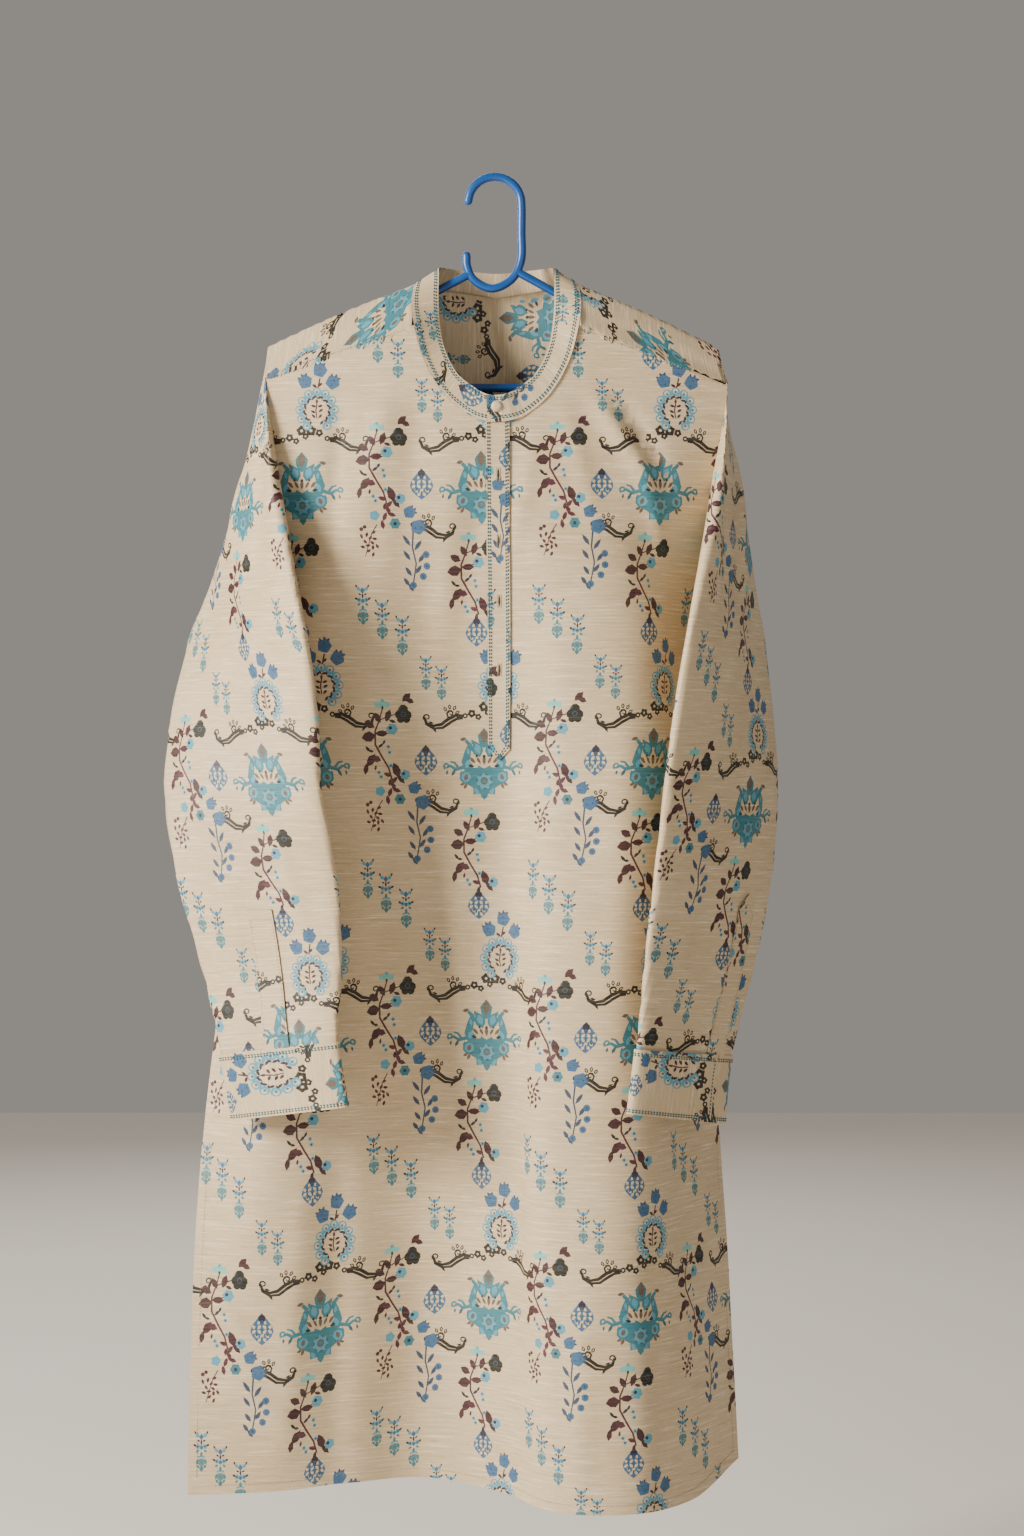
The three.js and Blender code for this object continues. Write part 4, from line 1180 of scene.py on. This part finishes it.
def sheet_piece(name, patch, outline, shapes, rests_on, **more):
    """A cloth piece with its flat size from its own outline."""
    outline = np.asarray(outline, float)
    piece = cloth_piece(name + "_cloth", patch, outline, shapes, **more)
    finish_piece(piece, [name])
    size = (outline.max(axis=0) - outline.min(axis=0)) * MM
    SHEETS.append((piece, tuple(size), abs(signed_area(outline)) * MM * MM, rests_on))


def smooth_step(x):
    x = np.clip(x, 0, 1)
    return x * x * (3 - 2 * x)


# Panels
NECK_MIDDLE_V = 135
FRONT_TOP_V, BACK_TOP_V = 192, 220
EDGE_STEP = 8
FOLD_SLOPE, FOLD_HEIGHT = 1.4, 0.8


def neck_outline(side):
    """Front neckline of one side from the yoke seam to the middle, a little inside the seam."""
    rows, at = NECK[:SEAM_ROW + 1], np.linspace(SEAM_ROW, 0, 26)
    x, z = (curve(np.arange(SEAM_ROW + 1), rows[:, a], at) for a in (0, 2))
    out = unit(np.stack([x, z + NECK_MIDDLE_V], -1))
    return np.stack([side * (x - SEAM_INSET * out[:, 0]), -(z - SEAM_INSET * out[:, 1])], -1)


def seam_outline(side):
    seam = SHOULDERS["left" if side < 0 else "right"]["seam"]
    flats = np.linspace(half_width(seam) - SIDE_ROOM, NECK[SEAM_ROW, 0] + 1, 24)
    return np.array([(side * f, yoke_seam_v(side * f) - SEAM_INSET) for f in flats])


def sides_and_hem(top_v, rise):
    """The right edge, the hem and the left edge of a panel, clockwise as seen with v down."""
    v = [np.arange(a, b, EDGE_STEP) for a, b in ((top_v, UNDERARM_V), (UNDERARM_V, HEM_V - 26))]
    v = np.concatenate(v)
    right = np.stack([half_width(v) - SIDE_ROOM, v], -1)
    hem_t = np.linspace(1, -1, 90)
    hem = np.stack([hem_t * (half_width(HEM_V) - SIDE_ROOM), hem_v(hem_t) - rise], -1)
    return np.concatenate([right, hem, right[::-1] * (-1, 1)])


def front_outline():
    left = np.concatenate([seam_outline(-1), neck_outline(-1)])
    right = np.concatenate([neck_outline(1)[::-1], seam_outline(1)[::-1]])
    return np.concatenate([left, right, sides_and_hem(FRONT_TOP_V, 0)])


def back_outline():
    top = YOKE_BACK_V - 1.5
    t = np.linspace(-1, 1, 50) * (half_width(top) - SIDE_ROOM)
    return np.concatenate([np.stack([t, np.full(50, top)], -1), sides_and_hem(BACK_TOP_V, BACK_RISE)])


def hem_swell(rise):
    """Extra thickness of the folded hem along the bottom and the side slits."""
    def swell(t, v):
        share = np.clip(t / half_width(v), -1, 1)
        hem = smooth_step((v - (hem_v(share) - rise - HEM_FOLD)) / FOLD_SLOPE)
        slit = smooth_step((np.abs(t) - (half_width(v) - HEM_FOLD)) / FOLD_SLOPE)
        return FOLD_HEIGHT * np.maximum(hem, slit * smooth_step((v - SLIT_TOP_V) / 6))
    return swell


def front_droop(place):
    """How far the front's print hangs down towards the photo's lower left."""
    t, v = place[:, 0], place[:, 1]
    down = 25 * smooth_step((v - 560) / 600) * smooth_step((-40 - t) / 190)
    return np.stack([3.5 * smooth_step((v - 300) / 800), down], -1)


def sleeve_drift(heights, shifts):
    """A sideways shift of a sleeve's print that follows the arm's lean."""
    return lambda place: np.stack([np.interp(place[:, 1], heights, shifts), 0 * place[:, 1]], -1)


def build_panels():
    outline = front_outline()
    shapes = prints_over(outline, (-15, 282), droop=front_droop)
    sheet_piece("front", front, outline, shapes, ["yoke_cloth"], swell=hem_swell(0))
    outline = back_outline()
    shapes = prints_over(outline, (22, 330), flip=True)
    sheet_piece("back", back, outline, shapes, ["yoke_cloth"], swell=hem_swell(BACK_RISE))


def build_yoke():
    patch, outline, longest = yoke_patch()
    outer = prints_over(outline, (-96, 40), turn=math.pi / 2, flip=True)
    facing = prints_over(outline, (38, longest - (YOKE_BACK_V - 118)), turn=-math.pi / 2)
    inner = [(points, colour) for points, colour in facing if inside(points, outline).all()
             and edge_distance(points, outline).min() > 1.5 and np.abs(points[:, 0]).max() < 150]
    sheet_piece("yoke", patch, outline, outer, ["hanger"], lift=0.9, spacing=4.5, swap=True,
                inner_shapes=inner)
    return patch, outline, longest


BAND_ROWS = 14


def band_patch():
    """The neckband: t runs from its under end round the back to its over end, v down from the free edge."""
    def column(side, row, shift=0.0, raised=0.0):
        seam = neck_seam(side, row)
        top = NECK[row, 3:] * (side, 1, 1) + (1, 0, 0)
        start = seam + (seam - top) * 2.8 / np.linalg.norm(seam - top)
        line = top + (start - top) * np.linspace(0, 1, 4)[:, None]
        return line + (shift, -raised, 0)
    last = len(NECK) - 1
    columns = [column(-1, 0, 9), column(-1, 0)]
    columns += [column(-1, row) for row in range(1, last + 1)]
    columns += [column(1, row, 0, LAYER if row == 1 else 0) for row in range(last - 1, 0, -1)]
    columns += [column(1, 0, 0, LAYER), column(1, 0, -9, LAYER)]
    return smooth_patch(np.swapaxes(np.array(columns), 0, 1), 240, BAND_ROWS)


def strip_outline(half, end, top=0.0, point=0.0):
    """A strip's outline, clockwise as seen with v down; a minus point is at its lower end."""
    upper = [(-half, top + max(point, 0)), (half, top + max(point, 0))]
    lower = [(half, end + min(point, 0)), (-half, end + min(point, 0))]
    if point > 0:
        upper.insert(1, (0, top))
    if point < 0:
        lower.insert(1, (0, end))
    return np.array(upper + lower, float)


def build_neckband():
    patch = band_patch()
    half, deep = patch.half[0], patch.dv * (BAND_ROWS - 1)
    outline = strip_outline(half, deep)
    shapes = prints_over(outline, (30, 60), turn=math.pi / 2)
    sheet_piece("neckband", patch, outline, shapes, ["yoke_cloth"], lift=0.95, thick=1.5, spacing=3.5,
                swap=True)
    return patch, half, deep


PLACKET_TOP_V = 218
BUTTONHOLES = (268, 326, 379, 440)


def placket_outline(inset=0.0):
    half, end = PLACKET_HALF - inset, PLACKET_END_V - inset * 1.2
    return strip_outline(half, end, PLACKET_TOP_V, -PLACKET_POINT)


def build_placket():
    outline = placket_outline()
    shapes = prints_over(outline, (64, 258))
    # Each buttonhole's slit is a near-black leaf in the print: painted shade of the opening, not a colour of
    # the cloth.
    for v in BUTTONHOLES:
        shapes += leaf(0.5, v, 11, 1.5, 90, "char")
    sheet_piece("placket", front, outline, shapes, ["front_cloth"], lift=1.7, thick=1.1, spacing=3.5)


def cuff_patch(label):
    """The cuff: t round the wrist, growing with x on its outer face, v down from its top edge."""
    shoulder, rows = SHOULDERS[label], SLEEVES[label]
    side = shoulder["side"]
    top = rows[-2, 0] + CUFF_GAP
    s = np.linspace(0, 1, 220)
    v = np.linspace(top - 2.2, top + CUFF_DEPTH, 16)
    vv, ss = np.meshgrid(v, s, indexing="ij")
    angles = np.radians(CUFF_ENDS[label] + (1 - ss) * (360 + CUFF_LAP))
    table = sleeve_ring(side, rows, vv, angles)
    raised = LAYER * np.clip((ss - 0.55) / 0.33, 0, 1)
    if side < 0:
        table, raised = table[:, ::-1], raised[:, ::-1]
    patch = Patch(table, 0, v[1] - v[0], 1)
    patch.table = patch.table + patch.normals * raised[..., None]
    patch.make_normals()
    half = np.mean([distances(row)[-1] for row in patch.table]) / 2
    patch.half[:] = half
    return patch, half, v[-1] - v[0]


def strip_patch(label):
    """The strip over a sleeve's slit."""
    shoulder, rows, strip = SHOULDERS[label], SLEEVES[label], STRIPS[label]
    side, end = shoulder["side"], rows[-2, 0] - 1
    v = np.linspace(end - strip["length"], end, 40)
    p = np.linspace(-1, 1, 15)
    vv, pp = np.meshgrid(v, p, indexing="ij")
    quarter = np.full(vv.shape, np.pi / 2)
    wide = np.linalg.norm(
        sleeve_ring(side, rows, vv, quarter) - sleeve_ring(side, rows, vv, -quarter), axis=-1)
    across = 2 * strip["place"] - pp * side * strip["width"] / wide
    table = sleeve_ring(side, rows, vv, np.arcsin(np.clip(across, -0.97, 0.97)))
    return Patch(table, 0, v[1] - v[0], strip["width"] / 2, (0, -1, 0))


SLEEVE_PRINTS = {
    "left": ((0, 296), sleeve_drift((296, 543, 790), (3, 37, 25))),
    "right": ((28, 570), sleeve_drift((325, 570, 790), (8, 0, -6))),
}
CUFF_PRINTS = {"left": (42, 36), "right": (179, 26)}
STRIP_PRINTS = {"left": (20, 110), "right": (-75, 30)}


def build_sleeves():
    made = {}
    for label in SHOULDERS:
        patch, outline = sleeve_patch(label)
        origin, drift = SLEEVE_PRINTS[label]
        shapes = prints_over(outline, origin, droop=drift)
        sheet_piece(f"sleeve_{label}", patch, outline, shapes, ["yoke_cloth"], lift=0.1)
        cuff, half, deep = cuff_patch(label)
        box = strip_outline(half, deep)
        shapes = prints_over(box, CUFF_PRINTS[label], turn=-math.pi / 2)
        sheet_piece(f"cuff_{label}", cuff, box, shapes, [f"sleeve_{label}_cloth"], lift=0.9, thick=1.5,
                    spacing=3.5, swap=True)
        strip, size = strip_patch(label), STRIPS[label]
        shape = strip_outline(size["width"] / 2, size["length"], point=size["point"])
        shapes = prints_over(shape, STRIP_PRINTS[label])
        sheet_piece(f"sleeve_placket_{label}", strip, shape, shapes, [f"sleeve_{label}_cloth"],
                    lift=1.5, thick=1.0, spacing=3.5)
        made[label] = (cuff, half, deep, strip, shape)
    return made


# Stitching
def stitch_mesh(name, rows, material):
    """Small spindles of thread along rows of (points, normals, (length, gap, radius))."""
    verts, faces = [], []
    for points, normals, (length, gap, radius) in rows:
        run = distances(points)
        for start in np.arange(gap / 2, run[-1] - length, length + gap):
            line = line_at(run, start + length * np.array((0, 0.3, 0.7, 1)), points)
            out = unit(line_at(run, start, normals))
            side = unit(np.cross(line[3] - line[0], out))
            first = len(verts)
            verts.append(line[0] - out * 0.3 * radius)
            for k in (1, 2):
                for across, up in ((1, 0.1), (0.5, 0.9), (-0.5, 0.9), (-1, 0.1), (0, -0.4)):
                    verts.append(line[k] + side * across * radius + out * up * radius)
            verts.append(line[3] - out * 0.3 * radius)
            for m in range(5):
                n = (m + 1) % 5
                faces.append((first, first + 1 + m, first + 1 + n))
                faces.append((first + 1 + m, first + 6 + m, first + 6 + n, first + 1 + n))
                faces.append((first + 6 + m, first + 11, first + 6 + n))
    piece = new_piece(name, (np.array(verts) * MM).tolist(), faces, material)
    finish_piece(piece, [])
    return piece


# The length of a stitch, the gap to the next one and the thread's radius
TEAL_STITCH = (2.7, 0.5, 0.68)
CREAM_STITCH = (2.2, 0.8, 0.26)
HOLE_STITCH = (1.2, 0.3, 0.36)


def row_on(patch, path, height, stitch=TEAL_STITCH):
    """A row of stitches along flat points, this far above a patch's middle surface."""
    path = np.asarray(path, float)
    run = distances(path)
    at = np.linspace(0, run[-1], max(int(run[-1] / 2), 4))
    points, normals = patch.at(*line_at(run, at, path).T)
    return points + normals * height, normals, stitch


def teal_rows(band, sleeves):
    def across(patch, half, places, height):
        return [row_on(patch, [(-half + 2, v), (half - 2, v)], height) for v in places]

    def down(patch, places, top, foot, height):
        return [row_on(patch, [(t, top), (t, foot)], height) for t in places]

    patch, half, deep = band
    rows = across(patch, half, (2.2, 4.0, deep - 5.0, deep - 3.2), 1.75)
    rows += down(patch, (half - 2.4, half - 4.2), 2, deep - 3, 1.75)
    for inset in (1.6, 3.4):
        shape = placket_outline(inset)
        rows.append(row_on(front, np.concatenate([shape[:1], shape[:0:-1]]), 2.3))
    for cuff, half, deep, _, _ in sleeves.values():
        rows += across(cuff, half, (3.6, 5.4, deep - 4.2, deep - 2.4), 1.72)
        rows += down(cuff, (half - 2.2, -half + 2.2), 4, deep - 3, 1.72)
    return rows


def cream_rows(yoke, sleeves):
    rows = []
    panels = ((front, 0), (back, BACK_RISE))
    t = np.linspace(-1, 1, 120)
    for patch, rise in panels:
        hem = np.stack([t * (half_width(1170) - 8), hem_v(t) - rise - HEM_FOLD + 1.2], -1)
        rows.append(row_on(patch, hem, 0.98, CREAM_STITCH))
    v = np.arange(SLIT_TOP_V + 4, 1168, 10)
    for side in (-1, 1):
        edge = np.stack([side * (half_width(v) - HEM_FOLD + 1.2), v], -1)
        rows += [row_on(patch, edge, 0.98, CREAM_STITCH) for patch, _ in panels]
    patch, outline, longest = yoke
    half = YOKE_HALF - 4
    rows.append(row_on(patch, [(-half, longest - 2.4), (half, longest - 2.4)], 1.4, CREAM_STITCH))
    for side in (-1, 1):
        t = side * np.linspace(78, half, 40)
        top = np.interp(t, *outline[:-2].T)
        rows.append(row_on(patch, np.stack([t, top + 2.4], -1), 1.4, CREAM_STITCH))
    for _, _, _, strip, shape in sleeves.values():
        inner = shape * 0.86 + shape.mean(axis=0) * 0.14
        rows.append(row_on(strip, np.roll(inner, 1, axis=0), 2.05, CREAM_STITCH))
    return rows


def buttonhole_rows():
    rows = []
    for v in BUTTONHOLES:
        for side in (-1, 1):
            for step in np.arange(-5.6, 5.7, 0.8):
                path = [(0.5 + side * 0.75, v + step), (0.5 + side * 2.3, v + step)]
                points, normals = front.at(*np.array(path).T)
                rows.append((points + normals * 2.3, normals, HOLE_STITCH))
    return rows


# Button and hanger
def skin(rings, sides, first=0):
    """Faces over rings of points and over both ends, facing out where each ring turns left."""
    faces = []
    for k in range(rings - 1):
        for i in range(sides):
            j = (i + 1) % sides
            a, b = first + k * sides, first + (k + 1) * sides
            faces.append((a + i, b + i, b + j, a + j))
    last = first + (rings - 1) * sides
    faces.append(tuple(range(first, first + sides)))
    faces.append(tuple(range(last + sides - 1, last - 1, -1)))
    return faces


def lathe(name, profile, count, place, material):
    """A turned piece whose axis runs along -Y from place."""
    angles = -2 * np.pi * np.arange(count) / count
    verts = [((place[0] + r * math.cos(a)) * MM, (place[1] - h) * MM, (place[2] + r * math.sin(a)) * MM)
             for r, h in profile for a in angles]
    return new_piece(name, verts, skin(len(profile), count), material)


def build_button():
    low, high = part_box("collar_button")
    middle = (low + high) / 2 / MM
    radius = (high.x - low.x) / 2 / MM
    deep = (high.y - low.y) / MM
    s = np.linspace(0, 1, 12)
    profile = [(radius * 0.9, 0), (radius, 0.12 * deep)]
    profile += [(radius * math.cos(a) ** 0.6, deep * (0.18 + 0.82 * math.sin(a))) for a in s * 1.45]
    piece = lathe("covered_button", profile, 40, (middle.x, high.y / MM, middle.z), button_material())
    finish_piece(piece, ["collar_button"])


def smooth_path(points, count):
    """Centripetal curve through points."""
    p = np.asarray(points, float)
    p = np.concatenate([[2 * p[0] - p[1]], p, [2 * p[-1] - p[-2]]])
    out = []
    for i in range(1, len(p) - 2):
        a, b, c, d = p[i - 1:i + 3]
        t0, t1, t2 = (max(np.linalg.norm(v) ** 0.5, 1e-4) for v in (b - a, c - b, d - c))
        m1 = ((b - a) / t0 - (c - a) / (t0 + t1) + (c - b) / t1) * t1
        m2 = ((c - b) / t1 - (d - b) / (t1 + t2) + (d - c) / t2) * t1
        s = np.linspace(0, 1, count, endpoint=False)[:, None]
        out.append(b * (2 * s**3 - 3 * s**2 + 1) + m1 * (s**3 - 2 * s**2 + s)
                   + c * (3 * s**2 - 2 * s**3) + m2 * (s**3 - s**2))
    out.append(p[-2:-1])
    return np.concatenate(out)


def tube(verts, faces, path, radius, sides=24):
    """A round tube with domed ends, added to verts and faces. The path lies in a plane of constant y."""
    along = unit(np.gradient(path, axis=0))
    dome = np.radians((80, 60, 38, 18))

    def domed(end, sign, angles):
        return [(path[end] + sign * along[end] * radius * math.sin(a), along[end], radius * math.cos(a))
                for a in angles]

    rings = domed(0, -1, dome) + [(p, d, radius) for p, d in zip(path, along)] + domed(-1, 1, dome[::-1])
    first = len(verts)
    angles = np.arange(sides) * 2 * np.pi / sides
    for centre, direction, r in rings:
        across = np.cross(direction, (0, 1, 0))
        for a in angles:
            verts.append((centre + r * (across * math.cos(a) + np.array((0, 1, 0)) * math.sin(a))) * MM)
    faces += skin(len(rings), sides, first)


BAR_Z = -186


def build_hanger():
    flat = lambda *pairs: np.array([(x, 0, z) for x, z in pairs], float)
    arch = [(-0.5 + 24 * math.cos(a), -20 + 24 * math.sin(a)) for a in np.linspace(0.97 * math.pi, 0, 11)]
    cradle = [(23.5, -45), (23, -72), (15, -88), (-3, -96.5), (-20, -88), (-25.5, -76), (-26, -67)]
    verts, faces = [], []
    tube(verts, faces, smooth_path(flat(*arch, *cradle), 8), TUBE_RADIUS)
    for inner, end in (((-24, -84), (-194, -162)), ((20, -81.5), (190, -164))):
        side = math.copysign(1, end[0])
        run = lambda a, b: (inner[0] + (end[0] - inner[0]) * a, inner[1] + (end[1] - inner[1]) * b)
        points = [inner, run(0.4, 0.45), run(0.8, 0.86), end, (end[0] + side * 5, (end[1] + BAR_Z) / 2 - 2),
                  (end[0] - side * 6, BAR_Z + 1), (end[0] - side * 20, BAR_Z), (end[0] - side * 60, BAR_Z)]
        tube(verts, faces, smooth_path(flat(*points), 10), TUBE_RADIUS * 0.98)
    tube(verts, faces, flat(*((x, BAR_Z) for x in (-140, -60, 0, 60, 140))), TUBE_RADIUS)
    piece = new_piece("hanger", [tuple(v) for v in verts], faces, plastic_material())
    finish_piece(piece, ["hanger_hook", "hanger_arm_left", "hanger_arm_right", "hanger_bar"])


# Stage
FLOOR_Z = -1.42
CAMERA_PLACE = (0.015, -2.4, -0.528)
LENS_MM = 62.5


def build_stage():
    bpy.ops.mesh.primitive_plane_add(size=9, location=(0, 0, FLOOR_Z))
    floor = bpy.context.object
    floor.name = "floor"
    floor.data.materials.append(floor_material())
    camera = bpy.data.objects.new("camera", bpy.data.cameras.new("camera"))
    bpy.context.scene.collection.objects.link(camera)
    camera.location = CAMERA_PLACE
    camera.rotation_euler = (math.pi / 2, 0, 0)
    camera.data.lens = LENS_MM
    camera.data.sensor_width = 36
    camera.data.clip_start = 0.05
    bpy.context.scene.camera = camera
    lights = (
        ("key", (-2.8, -1.7, 0.5), (0, 0, -0.6), 1.2, 290, (1, 0.94, 0.84)),
        ("fill", (1.6, -3.0, 0.1), (0, 0, -0.6), 2.4, 20, (1, 0.93, 0.84)),
        ("back", (-0.4, 3.0, 0.9), (0, 0, -0.5), 2.0, 36, (1, 0.95, 0.88)),
    )
    for name, place, aim, size, power, colour in lights:
        data = bpy.data.lights.new(name, "AREA")
        data.size, data.energy, data.color = size, power, colour
        light = bpy.data.objects.new(name, data)
        bpy.context.scene.collection.objects.link(light)
        light.location = place
        direction = Vector(aim) - Vector(place)
        light.rotation_euler = direction.to_track_quat("-Z", "Y").to_euler()
    world = bpy.data.worlds.new("studio")
    bpy.context.scene.world = world
    world.use_nodes = True
    background = world.node_tree.nodes["Background"]
    background.inputs["Color"].default_value = (0.86, 0.80, 0.73, 1)
    background.inputs["Strength"].default_value = 0.33


build_stage()
build_panels()
yoke = build_yoke()
band = build_neckband()
build_placket()
sleeves = build_sleeves()
teal = stitch_mesh("teal_topstitching", teal_rows(band, sleeves), TEAL_THREAD)
cream = stitch_mesh("hem_stitching", cream_rows(yoke, sleeves) + buttonhole_rows(), CREAM_THREAD)
build_button()
build_hanger()
for piece, size, area, rests_on in SHEETS:
    extra = {"front_cloth": [cream], "neckband_cloth": [teal]}.get(piece.name, [])
    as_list(extra)
